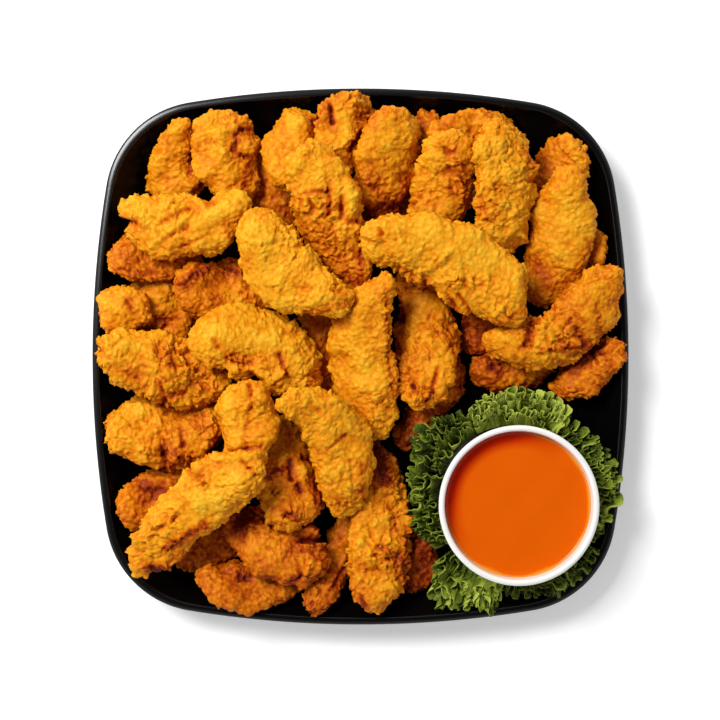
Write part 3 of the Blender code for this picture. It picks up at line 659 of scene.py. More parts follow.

# What stands out on single tenders, as lines between two places in pixels of the photograph's frame: tender,
# two places, half width in pixels, rise in millimetres, and what it adds to brown and to craggy. Some marks
# add brown where the tender lies in shade, as painted shade.
MARKS = [
    (1, 272, 168, 279, 184, 3, -1.0, 0.5, 0.2), (1, 258, 190, 266, 200, 9, 0.0, -0.1, 0.0),
    (8, 537, 158, 545, 170, 7, 0.0, 0.15, 0.0), (8, 570, 150, 585, 165, 7, 1.0, -0.1, 0.0),
    (9, 140, 266, 190, 262, 8, 0.5, -0.1, 0.8), (9, 145, 328, 172, 342, 6, 0.0, 0.5, 0.2),
    (9, 160, 318, 170, 322, 7, 0.0, 0.25, 0.4), (9, 148, 285, 165, 300, 10, 0.6, -0.15, 0.0),
    (9, 142, 280, 158, 328, 20, 5.0, -0.05, 0.3),
    (10, 126, 300, 130, 308, 4, -1.0, 0.4, 0.3), (10, 105, 303, 112, 306, 7, 0.0, -0.1, 0.0),
    (10, 92, 305, 94, 322, 7, -4.0, 0.0, 0.0), (10, 164, 292, 166, 324, 20, -8.0, 0.1, 0.0),
    (11, 124, 252, 128, 260, 6, 0.0, 0.15, 0.2), (11, 118, 268, 140, 276, 4, 0.0, 0.15, 0.3),
    (12, 490, 366, 491, 367, 4, -1.5, 0.6, 0.9), (12, 482, 358, 498, 356, 4, 1.5, 0.1, 0.9),
    (12, 500, 356, 498, 376, 4, 1.2, 0.1, 0.9), (12, 505, 382, 530, 378, 6, 0.5, -0.15, 0.0),
    (13, 558, 368, 596, 350, 7, -0.8, 0.45, 0.4), (13, 553, 386, 592, 394, 4, 1.2, -0.1, 0.8),
    (13, 616, 352, 620, 366, 5, 2.5, -0.2, 0.3), (13, 586, 372, 602, 362, 5, 0.5, -0.15, 0.5),
    (15, 112, 522, 116, 534, 7, -2.5, 0.0, 0.0),
    (15, 150, 490, 182, 488, 10, 0.0, 0.25, 0.0), (15, 128, 500, 136, 508, 8, 0.0, -0.1, 0.0),
    (16, 240, 576, 250, 577, 5, -0.6, 0.4, 0.6), (16, 212, 572, 220, 585, 7, 0.3, -0.1, 0.0),
    (17, 331, 590, 348, 562, 2.5, -1.4, 0.5, 0.2), (17, 318, 598, 340, 575, 4, 0.5, -0.1, 0.2),
    (18, 190, 150, 194, 172, 5, 0.3, 0.45, 0.3), (18, 192, 186, 204, 184, 6, 2.0, 0.2, 0.4),
    (18, 156, 152, 160, 152, 3, -1.2, 0.1, 0.0), (18, 166, 141, 167, 142, 3, 0.0, 0.2, 0.0),
    (19, 313, 122, 318, 150, 5, 0.0, 0.55, 0.2), (19, 285, 118, 295, 125, 10, 0.4, -0.1, 0.0),
    (20, 330, 106, 333, 122, 3, -3.0, 0.7, 0.4), (20, 326, 102, 320, 125, 4, 2.5, 0.05, 0.5),
    (20, 343, 112, 348, 142, 8, 1.0, -0.3, 0.0), (20, 362, 134, 350, 150, 4, -2.0, 0.7, 0.6),
    (20, 350, 96, 353, 102, 4, 2.5, -0.1, 0.6), (20, 366, 115, 368, 130, 5, 0.8, 0.1, 0.8),
    (20, 333, 150, 352, 140, 4, 1.2, 0.0, 0.8),
    (21, 440, 141, 455, 150, 5, 0.6, 0.15, 0.5), (21, 478, 113, 488, 116, 5, 1.0, 0.1, 0.4),
    (22, 115, 422, 140, 405, 12, 0.4, -0.12, 0.0), (22, 166, 450, 190, 462, 9, 0.5, 0.3, 0.9),
    (22, 168, 470, 176, 455, 5, 1.8, 0.15, 0.6), (22, 128, 440, 152, 456, 5, 1.0, 0.0, 0.5),
    (22, 163, 448, 166, 472, 2.5, -1.5, 0.45, 0.3), (22, 213, 452, 222, 442, 6, -4.0, 0.8, 0.0),
    (22, 200, 420, 212, 430, 12, 0.0, 0.15, 0.4), (22, 180, 430, 184, 445, 3, -1.2, 0.4, 0.4),
    (22, 150, 398, 165, 404, 4, -1.0, 0.35, 0.2), (22, 98, 420, 99, 436, 8, -5.0, 0.0, 0.0),
    (23, 108, 340, 130, 350, 12, 0.5, -0.12, -0.2), (23, 165, 358, 205, 372, 14, 0.6, 0.1, 0.9),
    (23, 160, 382, 165, 402, 3, -2.0, 0.55, 0.3), (23, 153, 392, 155, 404, 4, 2.0, 0.05, 0.4),
    (23, 195, 385, 212, 390, 6, 0.8, 0.15, 0.7), (23, 130, 372, 145, 385, 6, 0.0, 0.2, 0.2),
    (23, 184, 392, 172, 397, 4, -1.5, 0.5, 0.2), (23, 190, 345, 196, 352, 6, 1.5, -0.05, 0.5),
    (23, 91, 350, 91, 364, 7, -3.5, 0.0, 0.0),
    (24, 182, 284, 202, 272, 6, 0.5, 0.35, 0.9), (24, 232, 290, 240, 305, 12, 0.5, -0.2, 0.0),
    (24, 232, 270, 245, 272, 6, 0.0, 0.15, 0.4), (24, 215, 300, 222, 310, 6, 0.0, 0.2, 0.2),
    (25, 372, 214, 395, 206, 9, 0.0, 0.55, 0.2), (25, 405, 178, 400, 200, 5, 0.0, 0.4, 0.2),
    (25, 362, 212, 374, 226, 6, -0.6, 0.35, 0.3), (25, 385, 135, 395, 160, 12, 0.5, -0.15, 0.0),
    (25, 372, 185, 380, 195, 8, 0.0, 0.2, 0.3), (25, 405, 125, 410, 150, 4, 0.8, 0.0, 0.3),
    (26, 456, 152, 465, 195, 5, 1.2, 0.25, 0.8), (26, 448, 150, 452, 195, 2.5, -1.0, 0.25, 0.3),
    (26, 425, 143, 432, 143, 4, 2.5, -0.1, 0.2), (26, 420, 196, 414, 205, 4, -0.8, 0.25, 0.8),
    (26, 430, 160, 436, 180, 10, 0.5, -0.1, 0.0), (26, 440, 146, 450, 152, 4, 0.5, 0.2, 0.6),
    (27, 396, 285, 440, 288, 7, 0.5, 0.15, 1.0), (27, 393, 300, 400, 318, 6, -4.0, 0.8, 0.2),
    (27, 402, 372, 424, 394, 10, 0.8, 0.15, 1.0), (27, 413, 386, 414, 388, 2.5, -2.5, 0.8, 0.2),
    (27, 429, 402, 438, 368, 2.5, -2.0, 0.45, 0.2), (27, 450, 368, 454, 382, 6, 3.0, 0.0, 0.5),
    (27, 412, 330, 430, 345, 12, 0.6, -0.12, 0.0), (27, 446, 335, 458, 350, 6, 0.0, 0.3, 0.6),
    (27, 440, 395, 446, 400, 4, 2.0, 0.1, 0.4), (27, 395, 345, 396, 380, 4, 0.0, 0.3, 0.7),
    (28, 268, 520, 282, 516, 8, 0.5, 0.3, 0.9), (28, 246, 512, 240, 530, 8, 0.0, 0.5, 0.1),
    (28, 290, 531, 314, 532, 4, 2.5, 0.0, 0.3), (28, 303, 540, 322, 541, 3, -5.0, 0.6, 0.0),
    (28, 303, 547, 320, 546, 3, 2.5, 0.0, 0.5), (28, 311, 563, 304, 578, 3, 2.5, -0.35, 0.6),
    (28, 284, 562, 300, 560, 8, 0.6, -0.15, 0.3), (28, 290, 582, 306, 574, 4, -1.0, 0.3, 0.2),
    (28, 255, 548, 270, 552, 12, 0.5, -0.12, 0.0),
    (29, 374, 446, 384, 476, 12, 0.0, 0.65, 0.2), (29, 408, 530, 402, 590, 7, 0.0, 0.35, 0.3),
    (29, 378, 548, 398, 560, 6, -0.6, 0.3, 1.0), (29, 362, 578, 392, 586, 9, 0.8, -0.15, 0.3),
    (29, 362, 598, 365, 606, 3, -1.2, 0.5, 0.3), (29, 390, 505, 396, 530, 4, -1.2, 0.3, 0.9),
    (29, 362, 540, 374, 552, 8, 0.8, -0.1, 0.3), (29, 404, 512, 412, 532, 4, 2.0, 0.15, 0.5),
    (30, 274, 446, 282, 456, 8, 1.8, -0.15, 0.0), (30, 301, 470, 304, 473, 6, 3.2, -0.25, 0.0),
    (30, 290, 460, 291, 480, 3, -2.0, 0.6, 0.3), (30, 300, 456, 316, 462, 3, -1.0, 0.45, 0.3),
    (30, 264, 476, 282, 470, 5, 0.6, 0.4, 1.0), (30, 268, 492, 284, 500, 8, 1.0, -0.1, 0.3),
    (30, 316, 482, 318, 502, 6, 0.0, 0.5, 0.2), (30, 284, 514, 296, 516, 4, 0.5, 0.4, 1.0),
    (30, 298, 486, 300, 492, 3, -1.5, 0.6, 0.5), (30, 292, 437, 302, 445, 4, 1.5, 0.0, 0.3),
    (31, 233, 150, 239, 131, 3, -1.8, 0.5, 0.6), (31, 241, 129, 253, 130, 3, -1.5, 0.5, 0.5),
    (31, 239, 155, 250, 158, 3, -1.5, 0.5, 0.6), (31, 246, 140, 247, 143, 3, 1.5, 0.0, 0.3),
    (31, 246, 116, 258, 116, 3, 3.0, 0.0, 0.2), (31, 262, 138, 252, 150, 4, 2.0, -0.1, 0.4),
    (31, 215, 130, 222, 160, 14, 0.5, -0.1, 0.0), (31, 248, 165, 246, 190, 5, 0.0, 0.3, 0.1),
    (32, 532, 258, 548, 286, 11, 0.0, 0.35, -0.2), (32, 590, 240, 585, 262, 6, 0.0, 0.2, 0.1),
    (32, 555, 190, 570, 230, 12, 0.4, -0.08, -0.1), (32, 578, 270, 562, 290, 6, 0.0, 0.25, 0.0),
    (33, 549, 316, 540, 330, 5, 2.0, -0.12, 0.6), (33, 532, 322, 526, 346, 5, -1.2, 0.4, 1.0),
    (33, 572, 326, 582, 342, 6, 0.3, 0.25, 0.9), (33, 596, 308, 600, 330, 4, -0.6, 0.2, 0.6),
    (33, 500, 336, 512, 344, 6, 0.6, -0.1, 0.0), (33, 540, 350, 590, 344, 3, 0.0, 0.35, 0.3),
    (33, 546, 302, 550, 306, 4, -2.0, 0.2, 0.3), (33, 560, 312, 565, 340, 4, 1.2, 0.0, 0.7),
    (33, 590, 282, 604, 288, 9, 0.6, -0.1, 0.0),
    (34, 214, 340, 219, 348, 2.5, -1.3, 0.45, 0.3), (34, 230, 358, 250, 362, 6, -2.0, 0.45, 1.0),
    (34, 222, 374, 246, 369, 4, 1.8, 0.0, 0.8), (34, 280, 355, 286, 375, 3, -1.5, 0.5, 0.6),
    (34, 252, 378, 256, 384, 5, -5.0, 0.7, 0.0), (34, 268, 388, 284, 372, 5, 1.8, 0.0, 0.5),
    (34, 296, 348, 306, 362, 9, 1.4, -0.1, 0.0), (34, 318, 372, 312, 388, 5, 0.0, 0.3, 0.2),
    (34, 240, 325, 270, 330, 14, 0.4, -0.1, 0.0), (34, 208, 366, 220, 378, 6, 0.5, 0.2, 0.9),
    (34, 262, 358, 270, 372, 5, 1.0, 0.05, 0.6),
    (35, 305, 193, 326, 191, 2.5, -1.3, 0.45, 0.5), (35, 330, 184, 328, 214, 3, -1.3, 0.4, 0.8),
    (35, 350, 198, 352, 212, 6, 3.2, -0.25, 0.0), (35, 341, 198, 342, 216, 2.5, -2.0, 0.55, 0.2),
    (35, 347, 221, 361, 222, 2.5, -1.5, 0.5, 0.2), (35, 345, 184, 348, 187, 4, 1.6, -0.1, 0.2),
    (35, 353, 178, 360, 190, 3, -1.5, 0.5, 0.3), (35, 362, 232, 360, 282, 5, 0.0, 0.45, 0.2),
    (35, 318, 232, 345, 262, 16, 0.0, 0.18, 0.4), (35, 312, 205, 334, 208, 8, 0.4, 0.1, 0.8),
    (35, 300, 165, 318, 175, 12, 0.4, -0.1, 0.0), (35, 340, 275, 356, 285, 6, 0.0, 0.3, 0.2),
    (36, 531, 164, 534, 174, 5, 2.0, 0.1, 0.2), (36, 524, 150, 534, 184, 5, 0.0, 0.15, 0.3),
    (36, 497, 185, 495, 216, 2.5, -0.8, 0.15, 0.3), (36, 522, 236, 524, 242, 3, 2.5, 0.0, 0.3),
    (36, 490, 145, 505, 175, 12, 0.4, -0.1, 0.0), (36, 480, 205, 490, 220, 6, 0.3, 0.15, 0.6),
    (37, 386, 300, 394, 395, 3, -1.0, 0.3, 0.6), (37, 350, 330, 365, 370, 14, 0.4, -0.1, -0.1),
    (37, 372, 395, 392, 420, 9, 0.6, 0.0, 0.5), (37, 388, 285, 382, 300, 4, 0.5, 0.1, 0.2),
    (38, 249, 384, 250, 396, 3, -3.0, 0.4, 0.2), (38, 252, 402, 244, 442, 3, -1.0, 0.18, 0.4),
    (38, 225, 395, 232, 430, 9, 0.7, -0.12, -0.2), (38, 262, 398, 268, 420, 5, 0.8, 0.0, 0.3),
    (38, 213, 425, 220, 456, 8, -6.5, 0.1, 0.0), (38, 226, 453, 260, 447, 3, -1.2, 0.4, 0.0),
    (39, 123, 223, 134, 224, 4, -5.0, 0.3, 0.2), (39, 204, 194, 212, 200, 5, -5.0, 0.3, 0.2),
    (39, 152, 246, 192, 214, 3, 1.3, -0.1, 0.2), (39, 160, 224, 192, 206, 2.5, -1.4, 0.3, 0.3),
    (39, 165, 240, 188, 226, 2.5, -1.2, 0.22, 0.3), (39, 181, 249, 202, 237, 2.5, -1.4, 0.35, 0.3),
    (39, 239, 196, 215, 216, 8, 0.8, -0.12, -0.2), (39, 226, 226, 234, 240, 7, 0.0, 0.25, 0.0),
    (39, 155, 258, 225, 258, 4, 0.0, 0.3, 0.2), (39, 128, 198, 145, 215, 9, 0.6, -0.12, 0.5),
    (39, 176, 262, 200, 250, 4, 0.8, 0.0, 0.2),
    (40, 284, 214, 300, 238, 5, 1.2, 0.15, 1.0), (40, 304, 254, 307, 261, 5, 2.5, -0.05, 0.2),
    (40, 305, 316, 345, 304, 5, 0.0, 0.3, 0.1), (40, 335, 288, 352, 294, 7, 0.0, 0.15, 0.2),
    (40, 255, 230, 280, 280, 14, 0.4, -0.08, 0.0), (40, 325, 268, 330, 280, 4, 1.0, 0.1, 0.6),
    (41, 190, 470, 202, 482, 6, 0.8, 0.15, 1.0), (41, 243, 462, 256, 474, 3, -1.2, 0.25, 0.5),
    (41, 195, 505, 235, 480, 11, 0.6, -0.12, -0.1), (41, 148, 538, 172, 516, 8, 0.4, 0.12, 0.8),
    (41, 165, 548, 206, 526, 5, 0.0, 0.55, 0.3), (41, 145, 566, 156, 570, 5, 0.0, 0.45, 0.4),
    (41, 250, 455, 262, 450, 5, 1.2, 0.0, 0.4), (41, 172, 520, 185, 505, 3, -1.0, 0.25, 0.4),
    (41, 218, 460, 240, 456, 4, 1.0, -0.05, 0.2), (41, 160, 572, 178, 556, 8, 3.0, 0.2, 0.3),
    (41, 142, 540, 136, 560, 8, 2.5, 0.0, 0.4), (41, 158, 568, 164, 566, 5, 2.0, 0.3, 0.4),
    (42, 283, 405, 290, 413, 5, 2.0, 0.0, 0.3), (42, 297, 428, 300, 432, 4, -2.5, 0.2, 0.1),
    (42, 319, 411, 321, 414, 2.5, -1.0, 0.2, 0.2), (42, 347, 436, 328, 449, 2.5, -1.2, 0.3, 0.4),
    (42, 358, 465, 362, 495, 5, 0.0, 0.3, 0.1), (42, 338, 500, 343, 505, 4, -0.8, 0.25, 0.3),
    (42, 325, 430, 335, 440, 8, 0.4, -0.08, 0.2), (42, 330, 465, 338, 485, 8, 0.5, -0.1, 0.0),
    (43, 365, 235, 378, 238, 4, 3.0, 0.0, 0.4), (43, 380, 231, 382, 234, 2.5, -3.0, 0.4, 0.2),
    (43, 398, 272, 426, 284, 6, 0.5, 0.25, 1.0), (43, 425, 284, 431, 290, 3, -2.0, 0.55, 0.2),
    (43, 430, 268, 448, 252, 4, 1.3, -0.05, 0.6), (43, 455, 284, 482, 284, 7, 0.6, 0.12, 1.0),
    (43, 448, 298, 458, 312, 3, -2.0, 0.5, 0.3), (43, 458, 294, 478, 323, 2.2, -1.8, 0.4, 0.2),
    (43, 536, 268, 533, 306, 9, -5.0, 0.0, 0.0), (43, 500, 305, 510, 315, 6, 0.6, 0.0, 0.9),
    (43, 486, 328, 524, 310, 4, 0.0, 0.3, 0.1), (43, 420, 240, 500, 262, 16, 0.3, -0.08, -0.1),
    (43, 480, 225, 486, 240, 3, -0.6, 0.15, 0.7),
]

# The crust's lumps, pebbles, flakes, nodules and splits: how wide each kind is and how high or deep
LUMP = (0.019, 0.0021)
SMALL_LUMP = (0.009, 0.0015)
PEBBLE = (0.0037, 0.0008)
SMALL_PEBBLE = (0.0022, 0.0005)
FLAKE = (0.0062, 0.0021)
SMALL_FLAKE = (0.0033, 0.0011)
NODULE = (0.0080, 0.0011)
SPLIT = (0.010, 0.0012)

# How wide and far a cloud bends these, how deep the seams between pebbles are, how far the whole coat sinks
# in to make room for them, and how far apart the mesh's points lie
CRUST_WARP = (0.008, 0.0018)
SEAM_DEPTH = 0.0002
CRUST_SINK = 0.0009
CRUST_GRAIN = 0.00072

# How craggy a tender is all over, how much more where its sides turn away, and at the most
CRAGGY_ALL_OVER = 0.16
CRAGGY_SIDES = 0.55
CRAGGY_MOST = 1.3

# A place is hollow where its neighbours stand higher on average, and its colour is painted darker there as
# painted shade. How far off they are, in points of the mesh, and how much they count
HOLLOWS = [(3, 0.7), (9, 0.5)]
HOLLOW_DEPTH = 0.001
# How much browner the sides are, partly from frying and partly as painted shade
SIDE_BROWN_AND_SHADE = 0.16

# Rays that measure a tender's solid along and round it, how far from its ends their starts stay, and how much
# they fan out sideways
RAYS_ALONG = 40
RAYS_ROUND = 48
TIP_INSET = 0.011
TIP_INSET_SHARE = 0.4
FLATNESS = 1.7

# How many rays along and round it the form is averaged over, and how many rows it is carried on past its ends
BLUR_ALONG = 1.3
BLUR_ROUND = 1.7
PAST_ENDS = 5


def ray_lengths(origins, directions, triangles):
    """How far each ray goes to the last triangle that it meets. Planes and edges give the crossings."""
    corner = triangles[:, 0]
    side_a = triangles[:, 1] - corner
    side_b = triangles[:, 2] - corner
    crossed = np.cross(directions[:, None], side_b)
    scale = np.einsum("rtk,tk->rt", crossed, side_a)
    scale = np.where(np.abs(scale) < 1e-15, 1e-15, scale)
    offset = origins[:, None] - corner
    share_a = np.einsum("rtk,rtk->rt", offset, crossed) / scale
    turned_offset = np.cross(offset, side_a)
    share_b = np.einsum("rk,rtk->rt", directions, turned_offset) / scale
    length = np.einsum("tk,rtk->rt", side_b, turned_offset) / scale
    slack = 1e-4
    met = (share_a > -slack) & (share_b > -slack) & (share_a + share_b < 1 + slack) & (length > 0)
    return np.where(met, length, 0.0).max(axis=1)


class Body:
    """The long round form of one tender, as a line along its middle and the length of rays out from it.

    A place on it is given by two angles: one from its tail, 0, to its tip, pi, and one round it. Rays start
    on a parabola through the solid's corners and lean towards the ends as they come near them.
    """

    def __init__(self, node):
        triangles = node_triangles(node)
        corners = np.unique(triangles.reshape(-1, 3).round(6), axis=0)
        self.centre = corners.mean(axis=0)
        self.axes = np.linalg.svd(corners - self.centre, full_matrices=False)[2]
        self.axes[2] = np.cross(self.axes[0], self.axes[1])
        local = (corners - self.centre) @ self.axes.T
        self.bow = np.polyfit(local[:, 0], local[:, 1:], 2)
        self.middle = (local[:, 0].max() + local[:, 0].min()) / 2
        half = (local[:, 0].max() - local[:, 0].min()) / 2
        self.reach = half - min(TIP_INSET, TIP_INSET_SHARE * half)
        self.lengthwise = (np.arange(RAYS_ALONG) + 0.5) * math.pi / RAYS_ALONG
        self.round = np.arange(RAYS_ROUND) * 2 * math.pi / RAYS_ROUND
        origins, directions = self.rays(self.lengthwise, self.round)
        lengths = ray_lengths(origins.reshape(-1, 3), directions.reshape(-1, 3), triangles)
        self.lengths = lengths.reshape(RAYS_ALONG, RAYS_ROUND)

    def rays(self, lengthwise, around):
        """Starts and directions of rays for angles from the tail and round the body."""
        lean = -np.cos(lengthwise)[:, None, None]
        s = self.middle + self.reach * lean[:, 0, 0]
        powers = np.stack([s**2, s, np.ones_like(s)], axis=-1)
        slopes = np.stack([2 * s, np.ones_like(s)], axis=-1)
        start = self.centre + np.concatenate([s[:, None], powers @ self.bow], axis=1) @ self.axes
        heading = np.concatenate([np.ones((len(s), 1)), slopes @ self.bow[:2]], axis=1)
        heading = heading / np.linalg.norm(heading, axis=1)[:, None]
        side = np.cross([0.0, 0.0, 1.0], heading)
        side = side / np.linalg.norm(side, axis=1)[:, None]
        rise = np.cross(heading, side)
        heading, side, rise = (part @ self.axes for part in (heading, side, rise))
        out = FLATNESS * np.cos(around)[:, None] * side[:, None] + np.sin(around)[:, None] * rise[:, None]
        out = out / np.linalg.norm(out, axis=-1)[..., None]
        tilt = lean * np.abs(lean) ** 3
        direction = tilt * heading[:, None] + np.sqrt(1 - tilt**2) * out
        return np.broadcast_to(start[:, None], direction.shape), direction

    def surface(self, lengthwise, around):
        """Points on the body: its ray lengths, averaged over the facets by nearness, along the rays."""
        half_turn = np.roll(self.lengths, RAYS_ROUND // 2, axis=1)
        before = half_turn[PAST_ENDS - 1 :: -1]
        rows = np.concatenate([before, self.lengths, half_turn[: -PAST_ENDS - 1 : -1]])
        at = (np.arange(-PAST_ENDS, RAYS_ALONG + PAST_ENDS) + 0.5) * math.pi / RAYS_ALONG
        blur = BLUR_ALONG * math.pi / RAYS_ALONG
        along_weight = np.exp(-(((lengthwise[:, None] - at) / blur) ** 2) / 2)
        gap = (around[:, None] - self.round + math.pi) % (2 * math.pi) - math.pi
        round_weight = np.exp(-((gap / (BLUR_ROUND * 2 * math.pi / RAYS_ROUND)) ** 2) / 2)
        along_weight /= along_weight.sum(axis=1)[:, None]
        round_weight /= round_weight.sum(axis=1)[:, None]
        length = along_weight @ rows @ round_weight.T
        start, direction = self.rays(lengthwise, around)
        return start + length[..., None] * direction

    def even_grid(self, spacing):
        """A grid of points over the body, evenly spaced along it, with as many as fit round its girth."""
        rough_along = np.linspace(0.0, math.pi, 60)
        rough = self.surface(rough_along, self.round)
        step = np.linalg.norm(np.diff(rough, axis=0), axis=-1).mean(axis=1)
        travelled = np.concatenate([[0.0], np.cumsum(step)])
        count = int(travelled[-1] / spacing)
        girth = np.linalg.norm(rough - np.roll(rough, 1, axis=1), axis=-1).sum(axis=1).max()
        lengthwise = np.interp(np.linspace(0, travelled[-1], count), travelled, rough_along)
        around = np.linspace(0.0, 2 * math.pi, int(girth / spacing), endpoint=False)
        return self.surface(lengthwise, around)


def facing(grid):
    """The direction that each point of a closed grid faces: across its rows and columns."""
    down = np.gradient(grid, axis=0)
    over = np.roll(grid, -1, axis=1) - np.roll(grid, 1, axis=1)
    normal = np.cross(over, down)
    normal[0] = normal[1].sum(axis=0)
    normal[-1] = normal[-2].sum(axis=0)
    return normal / np.linalg.norm(normal, axis=-1)[..., None].clip(1e-12)


def ramp(values, low, high):
    """0 below low and 1 above high, with a smooth rise in between."""
    way = np.clip((values - low) / (high - low), 0.0, 1.0)
    return way * way * (3 - 2 * way)


def pebbles(points, size, seed):
    """The way from the nearest of random points, its random number and how far off the next one is.

    There is one random point in each cell. Ways and distances are in cells.
    """
    scaled = points / size
    cell = np.floor(scaled).astype(np.int64)
    nearest = np.full(points.shape[:-1], 9.0)
    second = np.full(points.shape[:-1], 9.0)
    number = np.zeros(points.shape[:-1])
    way = np.zeros(points.shape)
    for step in np.ndindex(3, 3, 3):
        other = cell + np.array(step) - 1
        spot = other + np.stack([scatter(other, seed + i) for i in range(3)], axis=-1)
        distance = np.linalg.norm(scaled - spot, axis=-1)
        closer = distance < nearest
        second = np.where(closer, nearest, np.minimum(second, distance))
        number = np.where(closer, scatter(other, seed + 3), number)
        way = np.where(closer[..., None], scaled - spot, way)
        nearest = np.minimum(nearest, distance)
    return way, number, second


def cobbles(points, size, seed):
    """Round domes, each as high as its own random number allows, with a seam where two of them meet."""
    way, number, second = pebbles(points, size, seed)
    nearest = np.linalg.norm(way, axis=-1)
    return (1 - nearest**2) * (0.4 + 1.2 * number), 1 - ramp(second - nearest, 0.0, 0.2)


def plates(points, size, seed):
    """Flat flakes, each tipped in its own random direction, so that they end in ledges where they meet."""
    way, number, _ = pebbles(points, size, seed)
    tip = np.stack([np.sin(number * turns + phase) for turns, phase in ((61, 0), (97, 2), (151, 4))], axis=-1)
    return (way * tip).sum(axis=-1)


def soften(values, reach):
    """A grid of values averaged over its neighbours as by a bell curve, closed round its rows."""
    steps = np.arange(-3 * reach, 3 * reach + 1)
    weight = np.exp(-((steps / reach) ** 2) / 2)
    weight /= weight.sum()
    padded = np.pad(values, ((3 * reach, 3 * reach), (0, 0)), mode="edge")
    rows = sum(w * padded[i : i + len(values)] for i, w in enumerate(weight))
    return sum(w * np.roll(rows, i, axis=1) for i, w in zip(steps, weight))


def crust(points, craggy, seed):
    """Height of the fried coat over the meat, in metres.

    Domes of two sizes round scattered points make the pebbles, on slow clouds that make the form lumpy. Where
    it is craggy, tipped plates of two sizes make flakes, thin lines where a cloud is nearly zero make splits,
    and a few larger domes make nodules.
    """
    warp = np.stack([cloud(points, CRUST_WARP[0], seed + 40 + i) for i in range(3)], axis=-1)
    bent = points + CRUST_WARP[1] * warp
    dome, seam = cobbles(bent, PEBBLE[0], seed)
    small_dome, _ = cobbles(bent, SMALL_PEBBLE[0], seed + 10)
    nodule, _ = cobbles(bent, NODULE[0], seed + 30)
    split = 1 - ramp(np.abs(cloud(bent, SPLIT[0], seed + 22)), 0.0, 0.12)
    height = PEBBLE[1] * dome + SMALL_PEBBLE[1] * small_dome - SEAM_DEPTH * seam
    lump = LUMP[1] * cloud(points, LUMP[0], seed + 31)
    small_lump = SMALL_LUMP[1] * cloud(points, SMALL_LUMP[0], seed + 32)
    height += lump + small_lump
    flake = FLAKE[1] * plates(bent, FLAKE[0], seed + 20)
    small_flake = SMALL_FLAKE[1] * plates(bent, SMALL_FLAKE[0], seed + 24)
    height += craggy * (flake + small_flake + NODULE[1] * ramp(nodule, 0.6, 1.2) - SPLIT[1] * split)
    return height - CRUST_SINK


def marked(points, normals, number):
    """What the marks add to a tender at each point: rise in metres, brown and craggy.

    A mark fades by a bell curve of the distance from its line, as the camera sees both. Where it adds height
    it works only on the side that faces up.
    """
    pixel = PIXEL_AT_RIM * (CAMERA_HEIGHT - points[..., 2]) / rim_distance
    across = PLATTER_CENTRE_PIXEL[0] + points[..., 0] / pixel
    down = PLATTER_CENTRE_PIXEL[1] - points[..., 1] / pixel
    upper = ramp(normals[..., 2], -0.4, 0.2)
    added = np.zeros((3, *across.shape))
    for tender, x, y, end_x, end_y, reach, rise, brown_and_shade, craggy in MARKS:
        if tender != number:
            continue
        run = np.array([end_x - x, end_y - y])
        share = (((across - x) * run[0] + (down - y) * run[1]) / (run @ run)).clip(0, 1)
        distance = np.hypot(across - x - share * run[0], down - y - share * run[1])
        strength = np.exp(-((distance / reach) ** 2))
        if rise >= 0:
            strength = strength * upper
        added += strength * np.array([rise * 0.001, brown_and_shade, craggy])[:, None, None]
    return added


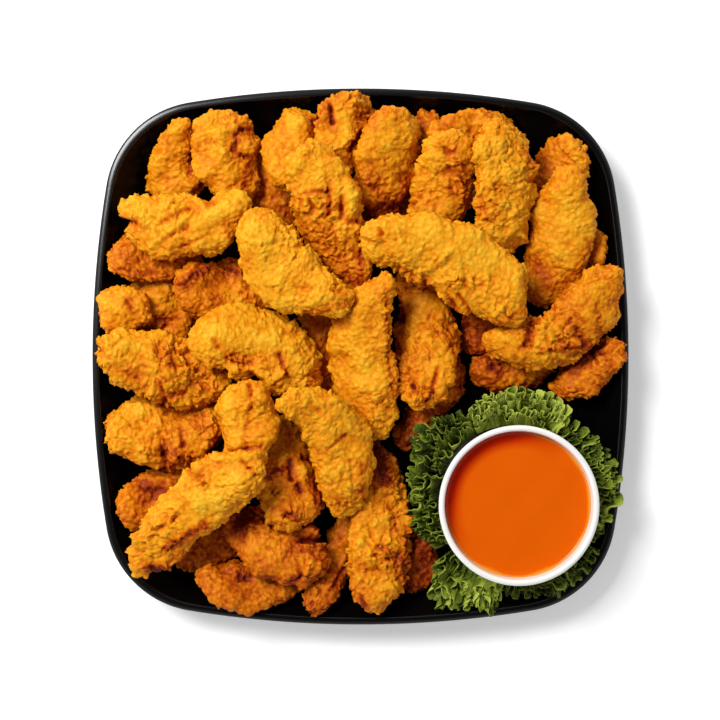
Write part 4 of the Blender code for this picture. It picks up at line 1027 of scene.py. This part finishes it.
def tender_piece(number, looks, material):
    """One tender: its body with the crust raised over it, how brown each place is and how hollow, which
    darkens it as painted shade.

    Its crust is craggy in patches of cloud and along its sides. Its patches of cloud are browner, and its
    sides are browner partly from frying and partly as painted shade.
    """
    brown_and_shade, craggy = looks
    node = f"tender_{number:02d}"
    grid = Body(node).even_grid(CRUST_GRAIN)
    seed = 100 * number
    normals = facing(grid)
    rise, stain_and_shade, crag = marked(grid, normals, number)
    patchy = ramp(cloud(grid, 0.024, seed + 50) + 0.4 * cloud(grid, 0.009, seed + 51), -0.4, 0.8)
    edge = 1 - ramp(np.abs(normals[..., 2]), 0.0, 0.8)
    cragginess = 1.1 * craggy * patchy + CRAGGY_ALL_OVER + CRAGGY_SIDES * edge + crag
    height = crust(grid, cragginess.clip(0, CRAGGY_MOST), seed)
    grid = grid + normals * (height + rise)[..., None]
    hollow = sum(share * (soften(height, reach) - height) for reach, share in HOLLOWS) / HOLLOW_DEPTH
    side = 1 - facing(grid)[..., 2].clip(0)
    toast = brown_and_shade + stain_and_shade + 0.1 * cloud(grid, 0.022, seed + 60) + 0.08 * cloud(grid, 0.008, seed + 61)
    attributes = {"toast": toast + SIDE_BROWN_AND_SHADE * side, "hollow": hollow.clip(-0.9, 1.3)}
    return skin(f"crusted_{node}", grid, material, attributes), node


fried_crust, paint, shader = new_material("fried_crust", roughness=0.5, specular_ior_level=0.1)
place = paint.node("TexCoord", output="Object")
toast = paint.node("Attribute", settings={"attribute_name": "toast"}, output="Fac")
hollow = paint.node("Attribute", settings={"attribute_name": "hollow"}, output="Fac")
grit = paint.node("TexNoise", {"Vector": place, "Scale": 520.0, "Detail": 3.0})
blotch = paint.node("TexNoise", {"Vector": place, "Scale": 230.0, "Detail": 3.0})
pebble = paint.node("TexVoronoi", {"Vector": place, "Scale": 330.0}, output="Distance")
# The crust's own blotches and grit, and the seams between its pebbles painted darker as painted shade
blotches_and_seam_shade = 0.35 * (blotch - 0.5) + 0.2 * (grit - 0.5) + 0.3 * (pebble - 0.4)
# Hollows, sides and tenders lying in shade are made browner here, as painted shade
browning_and_shade = (toast + 0.11 * hollow + blotches_and_seam_shade - 0.01).held()
crust_stops = [
    (0.0, (0.84, 0.435, 0.019)),
    (0.25, (0.78, 0.305, 0.006)),
    (0.5, (0.66, 0.172, 0.0015)),
    (0.75, (0.40, 0.055, 0.0006)),
    (1.0, (0.13, 0.009, 0.0003)),
]
paint.node("ValToRGB", {"Fac": browning_and_shade}, {"stops": crust_stops}).feed(shader, "Base Color")
(0.4 + 0.3 * grit).feed(shader, "Roughness")
relief = grit + 0.5 * blotch - 1.2 * pebble
paint.node("Bump", {"Height": relief, "Strength": 0.5, "Distance": 0.0006}).feed(shader, "Normal")

for number, looks in enumerate(TENDER_LOOKS, start=1):
    piece, node = tender_piece(number, looks, fried_crust)
    stands_for(piece, node)
